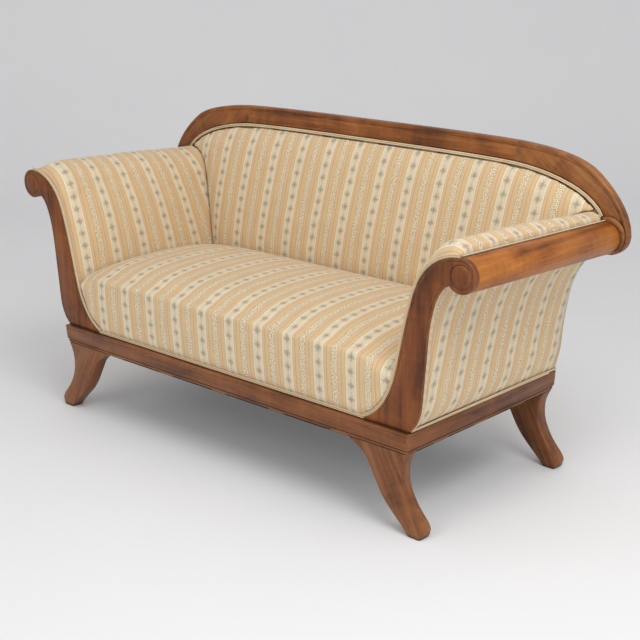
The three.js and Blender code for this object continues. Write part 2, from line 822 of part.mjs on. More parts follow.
function backWebbing() {
  const frontY = backWebbingRearY - webbingThickness;
  const half = webbingWidth / 2;
  const bottomZ = tackingRailTop - tackingRailHeight;
  const upright = springColumns.map((column) => {
    const x = column * springSpacing;
    const topZ = crestUnderZ(Math.abs(x) + half) - frameGap;
    return box(x - half, x + half, frontY, backWebbingRearY, bottomZ, topZ);
  });
  const middleZ = (tackingRailTop + crestInnerTop) / 2;
  const level = springRows.map((row) => {
    const z = middleZ + row * springSpacing / 2;
    const reach = baseHalfWidth - armSkin;
    return box(-reach, reach, frontY, backWebbingRearY, z - half, z + half);
  });
  return leaning(joined([...upright, ...level]));
}

function outsideBackPanel() {
  const frontY = backPanelRearY - backPanelThickness;
  const right = backOutline(0, frontY);
  const left = right.slice(0, -1).reverse().map((point) => flat(-point.x, point.y));
  return leaning(plate([...right, ...left], frontY, backPanelRearY));
}

addPair('back_post', backPost(), frameWood);
addPair('back_wing', backWing(), frameWood);
add('back_tacking_rail', backTackingRail(), frameWood);
add('back_upright', backUpright(), frameWood);
add('back_webbing', backWebbing(), jute);
add('outside_back_panel', outsideBackPanel(), brocade);

// Pad of the inside back: crowned, thin under the crest and drawn in at the arms
const padTopRoom = frameGap + pipingWidth + touchGap;
const padCrestLine = resample(crestInnerLine, 24, backPadCornerRoom);
const padTopLine = offset(padCrestLine, -padTopRoom);
const padCorner = padTopLine.at(-1);
const padSideLine = (() => {
  const edgeCount = rearSection.inner.length - armPadFirstPoint;
  const beside = offset(rearSection.inner, (_, k) => {
    return armCrownAt(clamp((k - armPadFirstPoint) / (edgeCount - 1), 0, 1), 1) + backPadArmRoom;
  });
  const turnX = padCorner.x - backPadCornerTurn;
  return [...keepBelow(keepAbove(beside, 'y', backPadBottomZ), 'x', turnX), padCorner];
})();

function insideBackPad() {
  const columns = 8;
  const rows = 9;
  const corner = { low: padSideLine[0], high: padCorner, lowMiddle: flat(0, padSideLine[0].y) };
  const middleTop = padTopLine[0];
  const spotAt = (u, v) => {
    const bottom = flat(corner.low.x * u, corner.low.y);
    const top = pointAt(padTopLine, u);
    const middle = flat(0, lerp(corner.low.y, middleTop.y, v));
    const side = pointAt(padSideLine, v);
    const blend = bottom.multiplyScalar(1 - v).addScaledVector(top, v);
    blend.addScaledVector(middle, 1 - u).addScaledVector(side, u);
    blend.addScaledVector(corner.lowMiddle, -(1 - u) * (1 - v)).addScaledVector(corner.low, -u * (1 - v));
    return blend.addScaledVector(middleTop, -(1 - u) * v).addScaledVector(corner.high, -u * v);
  };
  const front = [];
  const rear = [];
  for (let row = 0; row <= rows; row += 1) {
    const v = Math.sin(row / rows * Math.PI / 2);
    const frontRow = [];
    const rearRow = [];
    for (let column = -columns; column <= columns; column += 1) {
      const u = Math.sin(Math.abs(column) / columns * Math.PI / 2);
      const place = spotAt(u, v);
      const x = Math.sign(column) * place.x;
      const drawn = 1 - backPadDrawShare
        * clamp((u - backPadDrawFromShare) / (1 - backPadDrawFromShare), 0, 1) ** 2;
      const depth = backPadThickness * tableAt(backPadDepthShares, v) * drawn;
      frontRow.push(spot(x, backPadRearY - depth + leanAt(place.y), place.y));
      rearRow.push(spot(x, backPadRearY + leanAt(place.y), place.y));
    }
    front.push(frontRow);
    rear.push(rearRow);
  }
  return shell(front, rear);
}

// Pad of the seat: one roll from the front rail over the deck to the back
const seatEdgeLine = offset(frontSection.inner, pipingRoom);
const seatHalfWidth = crossing(seatEdgeLine, 'y', deckZ - seatEndLip).x;

function seatFootAt(x) {
  return x < toeX ? standZ : Math.min(crossing(seatEdgeLine, 'x', x).y, deckZ - seatEndLip);
}

function seatReachAt(z, y) {
  const share = clamp(armShareAt(y), 0, 1);
  const crownRoom = Math.max(0, z - armPadBottomZ) * seatCrownRiseShare;
  return crossing(armSection(share).inner, 'y', z).x - pipingRoom - crownRoom;
}

function seatRing(station) {
  const out = Math.abs(station);
  const foot = seatFootAt(out * seatHalfWidth);
  const drop = seatSideDrop * out ** 6;
  const draw = seatCornerDraw * clamp((out - seatCornerFromShare) / (1 - seatCornerFromShare), 0, 1);
  const ring = seatSectionShares.map(([depth, up]) => {
    const level = lerp(standZ, seatTopZ, up);
    const y = lerp(seatFrontY + draw, seatRearY, depth);
    if (level < deckZ) {
      const z = lerp(foot, deckZ, (level - standZ) / (deckZ - standZ));
      return spot(station * seatHalfWidth, y, z);
    }
    const z = level - drop * (level - deckZ) / (seatTopZ - deckZ);
    return spot(station * seatReachAt(z, y), y, z);
  });
  const underReach = station * Math.min(seatHalfWidth, seatReachAt(deckZ, seatRearY));
  ring.push(spot(underReach, seatRearY, deckZ));
  ring.push(spot(station * seatHalfWidth, seatInnerFrontY, deckZ));
  ring.push(spot(station * seatHalfWidth, seatInnerFrontY, foot));
  return ring;
}

function seatPad() {
  const right = seatStationShares;
  const stations = [...right.slice(1).reverse().map((share) => -share), ...right];
  return loft(stations.map(seatRing));
}

add('inside_back_pad', insideBackPad(), brocade);
add('seat_pad', seatPad(), brocade);

// Double piping along the joints of cloth and wood
const yAxis = spot(0, 1, 0);

function facingPiping() {
  const edge = keepAbove(frontSection.inner, 'x', toeX + pipingWidth);
  const line = offset(edge, touchGap + pipingThickness / 2);
  const middleY = facingFrontY + touchGap + pipingWidth / 2;
  return trim(shift(line, middleY), yAxis, pipingWidth / 2, pipingThickness / 2);
}

function armRollPiping() {
  const angle = seamAngle + pipingSeamAngle;
  const path = [0, 1 / 3, 2 / 3, 1].map((share) => {
    const { x, z, radius } = armSection(share);
    return armSpot(onCircle(x, z, radius + touchGap + pipingThickness / 2, angle), share);
  });
  const outward = onCircle(0, 0, 1, angle);
  const side = spot(outward.x, 0, outward.y);
  return trim(path, side, pipingThickness / 2, pipingWidth / 2);
}

function outsideArmPiping() {
  const half = pipingThickness / 2;
  const middleY = lipBackY + touchGap + armEdgePipingWidth / 2;
  const line = shortened(offset(frontSection.outer, half).slice(0, -1), pipingSideRoom);
  const clear = line.map((point) => flat(point.x, Math.max(point.y, standZ + half)));
  const side = trim(shift(clear, middleY), yAxis, armEdgePipingWidth / 2, half);
  const foot = [0, 0.5, 1].map((depthShare) => {
    const share = depthShare * armShareAt(backPanelRearY - touchGap);
    const [low, next] = armSection(share).outer;
    const upward = next.clone().sub(low).normalize();
    const inward = flat(-upward.y, upward.x);
    const rise = pipingWidth / 2 + softGap;
    const middle = low.clone().addScaledVector(upward, rise).addScaledVector(inward, half);
    return [30, 90, 150, 210, 270, 330].map((angle) => {
      const { x, y } = onCircle(0, 0, 1, angle);
      const corner = middle.clone().addScaledVector(upward, x * pipingWidth / 2);
      return armSpot(corner.addScaledVector(inward, y * half), share);
    });
  });
  return joined([side, loft(foot)]);
}

function backPiping() {
  const line = offset(padCrestLine, -frameGap - pipingWidth / 2);
  const left = line.slice(1).reverse().map((point) => flat(-point.x, point.y));
  const middleY = crestFrontY - pipingThickness / 2;
  const path = [...left, ...line];
  return leaning(trim(shift(path, middleY), yAxis, pipingThickness / 2, pipingWidth / 2));
}

function seatPiping() {
  const halfLength = toeX - pipingWidth;
  const frontY = facingFrontY + touchGap;
  return box(-halfLength, halfLength, frontY, frontY + pipingThickness, standZ, standZ + pipingWidth);
}

addPair('facing_piping', facingPiping(), gimp);
addPair('arm_roll_piping', armRollPiping(), gimp);
addPair('outside_arm_piping', outsideArmPiping(), gimp);
add('back_piping', backPiping(), gimp);
add('seat_piping', seatPiping(), gimp);

// Webbing under the seat, springs tied with a cord, hessian and dust cover
const webbingTopZ = railBottom - touchGap;
const springX = (column) => column * springSpacing;
const springY = (row) => springCentreY + row * springRowSpacing;

function seatWebbing() {
  const half = webbingWidth / 2;
  const bottomZ = webbingTopZ - webbingThickness;
  const reachX = baseHalfWidth - railMouldingDepth;
  const reachY = baseHalfDepth - railMouldingDepth;
  return joined([
    ...springColumns.map((column) => {
      return box(springX(column) - half, springX(column) + half, -reachY, reachY, bottomZ, webbingTopZ);
    }),
    ...springRows.map((row) => {
      return box(-reachX, reachX, springY(row) - half, springY(row) + half, bottomZ, webbingTopZ);
    }),
  ]);
}

const hessianTopZ = deckZ - touchGap;
const cordZ = hessianTopZ - hessianThickness - touchGap - cordThickness / 2;
const springBottomZ = webbingTopZ + touchGap + springWire / 2;

// An hourglass spring with half a flat turn at each end
function spring(x, y) {
  const turnSteps = 8;
  const steps = springTurns * turnSteps;
  const flatSteps = turnSteps / 2;
  const wireSides = 3;
  const rings = Array.from({ length: steps + 1 }, (_, k) => {
    const rise = clamp((k - flatSteps) / (steps - 2 * flatSteps), 0, 1);
    const radius = lerp(springWaist, springRadius, Math.abs(2 * rise - 1));
    const z = lerp(springBottomZ, cordZ, rise);
    const angle = 2 * Math.PI * k / turnSteps;
    return Array.from({ length: wireSides }, (__, corner) => {
      const around = 2 * Math.PI * corner / wireSides;
      const out = radius + springWire / 2 * Math.cos(around);
      const up = springWire / 2 * Math.sin(around);
      return spot(x + out * Math.cos(angle), y + out * Math.sin(angle), z + up);
    });
  });
  return loft(rings);
}

function springRow(column) {
  const x = springX(column);
  const endY = railInnerY - touchGap - cordThickness / 2;
  const endZ = railTop - cordRailDrop;
  const topY = springRowSpacing + springRadius + springWire;
  const path = [
    spot(x, -endY, endZ),
    spot(x, springCentreY - topY, cordZ),
    spot(x, springCentreY + topY, cordZ),
    spot(x, endY, endZ),
  ];
  const cord = trim(path, spot(1, 0, 0), cordThickness / 2, cordThickness / 2);
  return joined([cord, ...springRows.map((row) => spring(x, springY(row)))]);
}

function hessian() {
  const halfWidth = baseHalfWidth - hessianEndRoom;
  return box(-halfWidth, halfWidth, -railInnerY + softGap, seatRearY,
    hessianTopZ - hessianThickness, hessianTopZ);
}

function dustCover() {
  const topZ = webbingTopZ - webbingThickness - touchGap;
  const reachX = baseHalfWidth - railMouldingDepth;
  const reachY = baseHalfDepth - railMouldingDepth;
  const notchX = legInnerX - dustCoverNotchGap;
  const notchY = baseHalfDepth - legSetback - legThickness - dustCoverNotchGap;
  const corner = [flat(notchX, -reachY), flat(notchX, -notchY), flat(reachX, -notchY)];
  const right = [...corner, ...corner.map((point) => flat(point.x, -point.y)).reverse()];
  const left = right.map((point) => flat(-point.x, point.y)).reverse();
  return board([...right, ...left], topZ - dustCoverThickness, topZ);
}

add('seat_webbing', seatWebbing(), jute);
springColumns.forEach((column, k) => add(`spring_row_${k + 1}`, springRow(column), steel));
add('seat_hessian', hessian(), jute);
add('dust_cover', dustCover(), lining);

export default settee;
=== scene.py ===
# %% [markdown]
# A long settee with scroll arms: a show-wood frame, a domed sprung seat and a tall padded
# back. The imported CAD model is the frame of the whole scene. It is loaded first, and every
# piece made here goes where that model says, in metres, with the front towards -Y.

from math import cos, pi, radians, sin

import bpy
import numpy as np
from mathutils import Matrix, Vector


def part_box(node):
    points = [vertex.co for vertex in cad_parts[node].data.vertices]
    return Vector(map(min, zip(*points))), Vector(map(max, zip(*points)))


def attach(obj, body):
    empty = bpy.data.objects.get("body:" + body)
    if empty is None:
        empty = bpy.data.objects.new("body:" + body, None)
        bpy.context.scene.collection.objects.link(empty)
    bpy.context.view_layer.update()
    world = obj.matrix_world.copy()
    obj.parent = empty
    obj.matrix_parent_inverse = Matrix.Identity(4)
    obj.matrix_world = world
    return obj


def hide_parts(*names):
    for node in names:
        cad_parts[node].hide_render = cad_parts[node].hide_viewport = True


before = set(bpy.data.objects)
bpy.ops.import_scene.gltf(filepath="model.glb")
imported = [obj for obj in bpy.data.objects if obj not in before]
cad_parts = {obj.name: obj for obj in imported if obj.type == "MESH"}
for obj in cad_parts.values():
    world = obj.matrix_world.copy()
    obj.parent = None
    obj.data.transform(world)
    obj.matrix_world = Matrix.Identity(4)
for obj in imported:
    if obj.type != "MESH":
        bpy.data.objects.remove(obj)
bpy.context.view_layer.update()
print("CAD nodes:", len(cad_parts))

# %% [markdown]
# Materials are written as node trees. A few helpers keep that short: one adds a node with
# its settings and links, one does sums, and the others add a noise, a ramp of colours and
# a bump. A colour is written as it is seen on screen and turned to the linear light that
# the shader works in.

# %% Helpers for node trees
def linear(red, green, blue):
    def straight(value):
        share = value / 255
        return share / 12.92 if share <= 0.04045 else ((share + 0.055) / 1.055) ** 2.4
    return (straight(red), straight(green), straight(blue), 1.0)


def plug(tree, socket, value):
    if isinstance(value, bpy.types.NodeSocket):
        tree.links.new(value, socket)
    else:
        socket.default_value = value


def add_node(tree, kind, settings=None, inputs=None):
    new = tree.nodes.new(kind)
    for name, value in (settings or {}).items():
        setattr(new, name, value)
    for name, value in (inputs or {}).items():
        plug(tree, new.inputs[name], value)
    return new


def calc(tree, operation, *values, clamp=False):
    settings = {"operation": operation, "use_clamp": clamp}
    return add_node(tree, "ShaderNodeMath", settings, dict(enumerate(values))).outputs[0]


def scaled(tree, vector, factors):
    settings = {"operation": "MULTIPLY"}
    return add_node(tree, "ShaderNodeVectorMath", settings, {0: vector, 1: factors}).outputs[0]


def noise(tree, vector, scale, detail=4.0, roughness=0.55, distortion=0.0):
    return add_node(tree, "ShaderNodeTexNoise", None, {
        "Vector": vector, "Scale": scale, "Detail": detail, "Roughness": roughness,
        "Distortion": distortion,
    }).outputs["Fac"]


def ramp(tree, factor, stops):
    new = add_node(tree, "ShaderNodeValToRGB", None, {"Fac": factor})
    elements = new.color_ramp.elements
    for position, colour in stops[1:-1]:
        elements.new(position).color = colour
    elements[0].position, elements[0].color = stops[0]
    elements[-1].position, elements[-1].color = stops[-1]
    return new.outputs["Color"]


def mix(tree, factor, first, second, blend="MIX"):
    new = add_node(tree, "ShaderNodeMix", {"data_type": "RGBA", "blend_type": blend})
    for number, value in ((0, factor), (6, first), (7, second)):
        plug(tree, new.inputs[number], value)
    return new.outputs[2]
print("node helpers ready")

# %% [markdown]
# A group is one effect with named inputs and outputs, built once and used in several
# materials. Each material keeps its own shader, whose plain values are set on its sockets.

# %% Helpers for groups and materials
def new_group(name, inputs, outputs):
    tree = bpy.data.node_groups.new(name, "ShaderNodeTree")
    for label, kind in inputs:
        tree.interface.new_socket(label, in_out="INPUT", socket_type=kind)
    for label, kind in outputs:
        tree.interface.new_socket(label, in_out="OUTPUT", socket_type=kind)
    return tree, tree.nodes.new("NodeGroupInput").outputs, tree.nodes.new("NodeGroupOutput").inputs


def use_group(tree, group, inputs):
    new = tree.nodes.new("ShaderNodeGroup")
    new.node_tree = group
    for name, value in inputs.items():
        plug(tree, new.inputs[name], value)
    return new.outputs


def new_material(name, preview, **shader):
    material = bpy.data.materials.new(name)
    material.use_nodes = True
    material.diffuse_color = preview
    tree = material.node_tree
    principled = tree.nodes["Principled BSDF"]
    for label, value in shader.items():
        principled.inputs[label.replace("_", " ")].default_value = value
    return material, tree, principled


def bump(tree, principled, height, strength, distance):
    new = add_node(tree, "ShaderNodeBump", None, {
        "Height": height, "Strength": strength, "Distance": distance,
    })
    tree.links.new(new.outputs["Normal"], principled.inputs["Normal"])


def object_spot(tree):
    return add_node(tree, "ShaderNodeTexCoord").outputs["Object"]
print("group and material helpers ready")

# %% [markdown]
# Edges tell how old a polished piece is: hands and dusters wear the polish off the
# arrises, where the wood shows lighter. The inner corners and creases get painted shade,
# darkened in the colour where little light reaches. One group makes both masks: a Bevel node
# compared with the true normal finds the arrises, and Ambient Occlusion over a short
# distance finds the creases for the painted shade.

# %% Wear and painted shade group
def make_wear_and_shade_group():
    tree, given, out = new_group(
        "wear and grime", [("Place", "NodeSocketVector")],
        [("Wear", "NodeSocketFloat"), ("Painted Shade", "NodeSocketFloat")])
    rounded = add_node(tree, "ShaderNodeBevel", {"samples": 4}, {"Radius": 0.0035}).outputs["Normal"]
    true = tree.nodes.new("ShaderNodeNewGeometry").outputs["Normal"]
    facing = add_node(tree, "ShaderNodeVectorMath", {"operation": "DOT_PRODUCT"}, {0: rounded, 1: true})
    edge = calc(tree, "MULTIPLY_ADD", facing.outputs["Value"], -6.0, 6.0, clamp=True)
    rubbed = calc(tree, "MULTIPLY_ADD", noise(tree, given["Place"], 26.0), 3.4, -1.2, clamp=True)
    # Painted shade: Ambient Occlusion finds the creases, where little light falls, and this mask darkens
    # them.
    hollow = add_node(tree, "ShaderNodeAmbientOcclusion", {"samples": 6}, {"Distance": 0.013})
    crease = calc(tree, "MULTIPLY_ADD", hollow.outputs["AO"], -2.6, 2.2, clamp=True)
    tree.links.new(calc(tree, "MULTIPLY", calc(tree, "MULTIPLY", edge, rubbed),
                        calc(tree, "SUBTRACT", 1.0, crease)), out["Wear"])
    tree.links.new(crease, out["Painted Shade"])
    return tree


wear_and_shade_group = make_wear_and_shade_group()
print("wear group has", len(wear_and_shade_group.nodes), "nodes")

# %% [markdown]
# The show wood is a warm red-brown fruitwood under an old polish. Its figure is long along
# the board and fine across it, so the noise is stretched along one axis, and a cloudy
# noise at the scale of a hand gives the mottled depth that polish brings out. Each board
# turns its own coordinates first, so that the grain runs along it as it was sawn.

# %% Wood grain group
def make_grain_group():
    tree, given, out = new_group(
        "wood grain",
        [("Place", "NodeSocketVector"), ("Dark", "NodeSocketColor"), ("Middle", "NodeSocketColor"),
         ("Light", "NodeSocketColor"), ("Worn", "NodeSocketColor"), ("Wear", "NodeSocketFloat")],
        [("Colour", "NodeSocketColor"), ("Roughness", "NodeSocketFloat"), ("Height", "NodeSocketFloat")])
    place = given["Place"]
    cloud = noise(tree, scaled(tree, place, (1.0, 1.6, 1.6)), 6.0, 3.0, 0.5, 0.6)
    streak = noise(tree, scaled(tree, place, (2.4, 52.0, 52.0)), 1.0, 6.0, 0.6, 0.25)
    curl = noise(tree, scaled(tree, place, (60.0, 7.0, 7.0)), 1.0, 2.0, 0.5, 0.4)
    fibre = noise(tree, scaled(tree, place, (12.0, 460.0, 460.0)), 1.0, 3.0, 0.6)
    parts = ((cloud, 1.6), (streak, 1.7), (curl, 0.35), (fibre, 0.6))
    tone = 0.5
    for part, weight in parts:
        tone = calc(tree, "ADD", tone, calc(tree, "MULTIPLY", calc(tree, "SUBTRACT", part, 0.5), weight))
    lower = mix(tree, calc(tree, "MULTIPLY", tone, 2.0, clamp=True), given["Dark"], given["Middle"])
    body = mix(tree, calc(tree, "MULTIPLY_ADD", tone, 2.0, -1.0, clamp=True), lower, given["Light"])
    grainy = noise(tree, scaled(tree, place, (34.0, 900.0, 900.0)), 1.0, 1.0)
    pores = calc(tree, "LESS_THAN", grainy, 0.37)
    pored = mix(tree, calc(tree, "MULTIPLY", pores, 0.3), body, given["Dark"])
    masks = use_group(tree, wear_and_shade_group, {"Place": place})
    wear = calc(tree, "MULTIPLY", masks["Wear"], given["Wear"])
    worn = mix(tree, wear, pored, given["Worn"])
    # Painted shade: the creases found by Ambient Occlusion are mixed towards a dark brown, and their polish
    # is dulled a little.
    painted_shade = calc(tree, "MULTIPLY", masks["Painted Shade"], 0.85)
    tree.links.new(mix(tree, painted_shade, worn, linear(26, 14, 8)), out["Colour"])
    gloss = calc(tree, "MULTIPLY_ADD", cloud, 0.2, 0.27)
    dulled = calc(tree, "MULTIPLY_ADD", masks["Painted Shade"], 0.3, gloss)
    tree.links.new(calc(tree, "MULTIPLY_ADD", fibre, 0.1, dulled), out["Roughness"])
    tree.links.new(calc(tree, "SUBTRACT", fibre, calc(tree, "MULTIPLY", pores, 0.6)), out["Height"])
    return tree


grain_group = make_grain_group()
print("grain group has", len(grain_group.nodes), "nodes")

# %% [markdown]
# Each kind of board gets its own wood from the same grain. The turn says how the board was
# sawn, the shift takes another place of the grain, so that no two kinds show the same
# figure, and the palette says how dark the old polish is there.

# %% Woods
def make_wood(name, turn, shift, shades, wear=0.75, coat=0.07):
    dark, middle, light, worn = [linear(*shade) for shade in shades]
    material, tree, principled = new_material(
        name, middle, Coat_Weight=coat, Coat_Roughness=0.25, Specular_IOR_Level=0.28)
    mapping = add_node(tree, "ShaderNodeMapping", {"vector_type": "TEXTURE"}, {
        "Vector": object_spot(tree), "Rotation": turn, "Location": shift,
    })
    made = use_group(tree, grain_group, {
        "Place": mapping.outputs["Vector"], "Dark": dark, "Middle": middle, "Light": light,
        "Worn": worn, "Wear": wear,
    })
    tree.links.new(made["Colour"], principled.inputs["Base Color"])
    tree.links.new(made["Roughness"], principled.inputs["Roughness"])
    bump(tree, principled, made["Height"], 0.25, 0.0003)
    return material


polish = {
    "crest": ((84, 42, 14), (130, 74, 28), (158, 98, 44), (196, 142, 88)),
    "golden": ((82, 42, 14), (138, 84, 38), (168, 112, 58), (200, 150, 98)),
    "rail": ((76, 40, 16), (120, 70, 34), (146, 92, 50), (186, 138, 96)),
    "roll": ((98, 48, 12), (156, 90, 32), (184, 116, 48), (222, 172, 116)),
    "facing": ((72, 34, 8), (114, 60, 20), (142, 82, 34), (188, 136, 86)),
    "leg": ((80, 44, 20), (124, 74, 40), (150, 98, 58), (192, 150, 110)),
    "beech": ((160, 124, 84), (190, 154, 112), (208, 176, 134), (222, 196, 158)),
}
along_x = (0.0, 0.0, 0.0)
along_y = (0.0, 0.0, radians(90))
along_z = (0.0, radians(90), 0.0)
woods = {
    "long": make_wood("polished_wood_long", along_x, (0.0, 0.0, 0.0), polish["rail"]),
    "deep": make_wood("polished_wood_deep", along_y, (0.3, 0.0, 0.0), polish["rail"]),
    "roll": make_wood("polished_wood_roll", along_y, (0.0, 0.4, 0.2), polish["roll"]),
    "tall": make_wood("polished_wood_tall", along_z, (0.1, 0.2, 0.0), polish["facing"]),
    "crest": make_wood("polished_wood_crest", along_x, (0.5, 0.1, 0.0), polish["crest"]),
    "beech": make_wood("raw_beech", along_x, (0.2, 0.0, 0.0), polish["beech"], 0.3, 0.0),
}
for side, sign, tone in (("right", 1, "golden"), ("left", -1, "crest")):
    slope = (0.0, sign * radians(35), 0.0)
    woods[f"{side}_crest"] = make_wood(
        f"polished_wood_{side}_crest", slope, (sign * 0.2, 0.3, 0.1), polish[tone])
    slope = (0.0, sign * radians(62), 0.0)
    woods[f"{side}_leg"] = make_wood(
        f"polished_wood_{side}_leg", slope, (sign * 0.7, 0.2, 0.4), polish["leg"])
print("woods:", sorted(woods))

# %% [markdown]
# The cover is a striped brocade: a cream band with a chain of small flowers, a gold band,
# a band stippled like lace, and a gold band again. The cloth is cut so that the stripes
# stand upright on the back and arms and run from front to back on the seat. The pattern
# is drawn in two measures in metres, one across the stripes and one along them.

# %% Bands of the brocade
stripe_repeat = 0.118
stripe_waver = 0.005
flower_pitch = 0.0405
flower_middle_share = 0.17
lace_shares = (0.574, 0.756)
rib_pitch = 0.0042


def draw_bands(tree, share):
    cream, pale, thread = linear(213, 198, 170), linear(223, 207, 177), linear(184, 154, 112)
    rose, gold, honey = linear(208, 176, 138), linear(207, 178, 134), linear(186, 155, 113)
    lace = linear(184, 160, 121)
    return ramp(tree, share, [
        (0.0, thread), (0.012, pale), (0.035, pale), (0.045, cream), (0.295, cream), (0.305, pale),
        (0.328, pale), (0.34, thread), (0.352, rose), (0.41, rose), (0.418, honey), (0.432, honey),
        (0.44, gold), (0.555, gold), (0.563, honey), (0.572, lace), (0.758, lace), (0.766, honey),
        (0.776, rose), (0.86, rose), (0.868, honey), (0.88, honey), (0.888, gold), (0.985, gold),
        (1.0, thread),
    ])


print("stripes repeat every", stripe_repeat, "m")

# %% [markdown]
# Each flower is a ragged lozenge with a leaf on either side, a pale halo round it and a bud
# between it and the next one. Every second flower is a little rosier. A lozenge needs only
# the distances from its middle, and a noise frays its edge as a woven flower is frayed.

# %% Flowers of the brocade
def beside(tree, turns, phase):
    part = calc(tree, "FRACT", calc(tree, "ADD", turns, phase))
    return calc(tree, "MULTIPLY", calc(tree, "SUBTRACT", part, 0.5), flower_pitch)


def lozenge(tree, petals, x, y, half_width, half_height, rag, edge=3.0):
    size = calc(tree, "ADD", calc(tree, "DIVIDE", calc(tree, "ABSOLUTE", x), half_width),
                calc(tree, "DIVIDE", calc(tree, "ABSOLUTE", y), half_height))
    ragged = calc(tree, "ADD", size, calc(tree, "MULTIPLY", petals, rag))
    return calc(tree, "MULTIPLY_ADD", ragged, -edge, edge + 0.5, clamp=True)


def draw_flowers(tree, flat, share, along, ground):
    offset = calc(tree, "SUBTRACT", share, flower_middle_share)
    from_middle = calc(tree, "MULTIPLY", offset, stripe_repeat)
    turns = calc(tree, "DIVIDE", along, flower_pitch)
    petals = calc(tree, "SUBTRACT", noise(tree, flat, 230.0, 2.0, 0.6), 0.5)
    flower_y, bud_y = beside(tree, turns, 0.0), beside(tree, turns, 0.5)
    halo = lozenge(tree, petals, from_middle, flower_y, 0.0125, 0.0165, 2.2, 1.4)
    heart = lozenge(tree, petals, from_middle, flower_y, 0.0062, 0.0095, 1.8, 1.6)
    leaf_x = calc(tree, "SUBTRACT", calc(tree, "ABSOLUTE", from_middle), 0.0075)
    leaf_y = calc(tree, "ADD", flower_y, 0.001)
    side_leaf = lozenge(tree, petals, leaf_x, leaf_y, 0.0034, 0.0042, 1.6)
    bud = lozenge(tree, petals, from_middle, bud_y, 0.003, 0.0045, 2.2)
    half_turns = calc(tree, "MULTIPLY", calc(tree, "FLOOR", turns), 0.5)
    odd = calc(tree, "GREATER_THAN", calc(tree, "FRACT", half_turns), 0.25)
    blossom = mix(tree, odd, linear(142, 135, 112), linear(150, 128, 110))
    faint = mix(tree, odd, linear(180, 170, 142), linear(186, 165, 140))
    haloed = mix(tree, calc(tree, "MULTIPLY", halo, 0.75), ground, faint)
    budded = mix(tree, calc(tree, "MULTIPLY", bud, 0.3), haloed, linear(166, 152, 124))
    leafed = mix(tree, calc(tree, "MULTIPLY", side_leaf, 0.4), budded, linear(150, 148, 120))
    return mix(tree, calc(tree, "MULTIPLY", heart, 0.66), leafed, blossom), heart


print("flowers stand", flower_pitch, "m apart")

# %% [markdown]
# The lace band is a scatter of pale dots, which is what a Voronoi texture gives. The weave
# has fine ribs along the stripes and a weft across them, and a cloud and a fleck of noise
# shade the whole cloth, because old thread never keeps one even tone.

# %% Lace, weave and the brocade group
def draw_lace(tree, flat, share, flowered):
    dots = add_node(tree, "ShaderNodeTexVoronoi", {"voronoi_dimensions": "2D"}, {
        "Vector": flat, "Scale": 250.0, "Randomness": 0.8,
    }).outputs["Distance"]
    in_lace = calc(tree, "MULTIPLY", calc(tree, "GREATER_THAN", share, lace_shares[0]),
                   calc(tree, "LESS_THAN", share, lace_shares[1]))
    dot = calc(tree, "MULTIPLY", calc(tree, "MULTIPLY_ADD", dots, -6.0, 2.9, clamp=True), in_lace)
    return mix(tree, calc(tree, "MULTIPLY", dot, 0.75), flowered, linear(240, 228, 202)), dot


def draw_weave(tree, flat, across):
    rib = calc(tree, "SINE", calc(tree, "MULTIPLY", across, 2 * pi / rib_pitch))
    weft = noise(tree, scaled(tree, flat, (420.0, 160.0, 1.0)), 1.0, 2.0, 0.6)
    return calc(tree, "MULTIPLY_ADD", weft, 0.8, calc(tree, "MULTIPLY", rib, 0.2))


def shaded(tree, flat, weave, colour):
    cloud = noise(tree, flat, 13.0, 3.0, 0.6)
    fleck = noise(tree, flat, 230.0, 3.0, 0.8)
    spots = calc(tree, "ADD", calc(tree, "MULTIPLY", cloud, 0.16), calc(tree, "MULTIPLY", fleck, 0.56))
    shade = calc(tree, "ADD", calc(tree, "MULTIPLY_ADD", weave, 0.16, 0.58), spots)
    grey = add_node(tree, "ShaderNodeCombineXYZ", None, {"X": shade, "Y": shade, "Z": shade}).outputs[0]
    return mix(tree, 1.0, colour, grey, "MULTIPLY")


def make_brocade_group():
    tree, given, out = new_group(
        "striped brocade",
        [("Across", "NodeSocketFloat"), ("Along", "NodeSocketFloat")],
        [("Colour", "NodeSocketColor"), ("Height", "NodeSocketFloat")])
    across, along = given["Across"], given["Along"]
    flat = add_node(tree, "ShaderNodeCombineXYZ", None, {"X": across, "Y": along}).outputs[0]
    waver = calc(tree, "MULTIPLY_ADD", noise(tree, flat, 11.0, 2.0), stripe_waver, -stripe_waver / 2)
    repeats = calc(tree, "DIVIDE", calc(tree, "ADD", across, waver), stripe_repeat)
    share = calc(tree, "FRACT", calc(tree, "ADD", repeats, flower_middle_share))
    flowered, heart = draw_flowers(tree, flat, share, along, draw_bands(tree, share))
    laced, dot = draw_lace(tree, flat, share, flowered)
    weave = draw_weave(tree, flat, across)
    tree.links.new(shaded(tree, flat, weave, laced), out["Colour"])
    raised = calc(tree, "ADD", calc(tree, "MULTIPLY", heart, 0.6), dot)
    tree.links.new(calc(tree, "MULTIPLY_ADD", weave, 0.7, raised), out["Height"])
    return tree


brocade_group = make_brocade_group()
brocade, brocade_tree, brocade_shader = new_material(
    "striped_brocade", linear(206, 182, 146), Roughness=0.8, Sheen_Weight=0.12, Sheen_Roughness=0.5)
cloth_map = add_node(brocade_tree, "ShaderNodeUVMap", {"uv_map": "cloth"}).outputs["UV"]
cloth_spots = add_node(brocade_tree, "ShaderNodeSeparateXYZ", None, {0: cloth_map}).outputs
brocade_made = use_group(brocade_tree, brocade_group, {
    "Across": cloth_spots["X"], "Along": cloth_spots["Y"],
})
brocade_tree.links.new(brocade_made["Colour"], brocade_shader.inputs["Base Color"])
bump(brocade_tree, brocade_shader, brocade_made["Height"], 0.5, 0.0005)
print("brocade ready")

# %% [markdown]
# The piping is covered with plain cream thread. Inside the settee there are jute webbing
# and hessian, steel springs and a black dust cover. They are hardly seen, but each still
# has its own weave or stain.

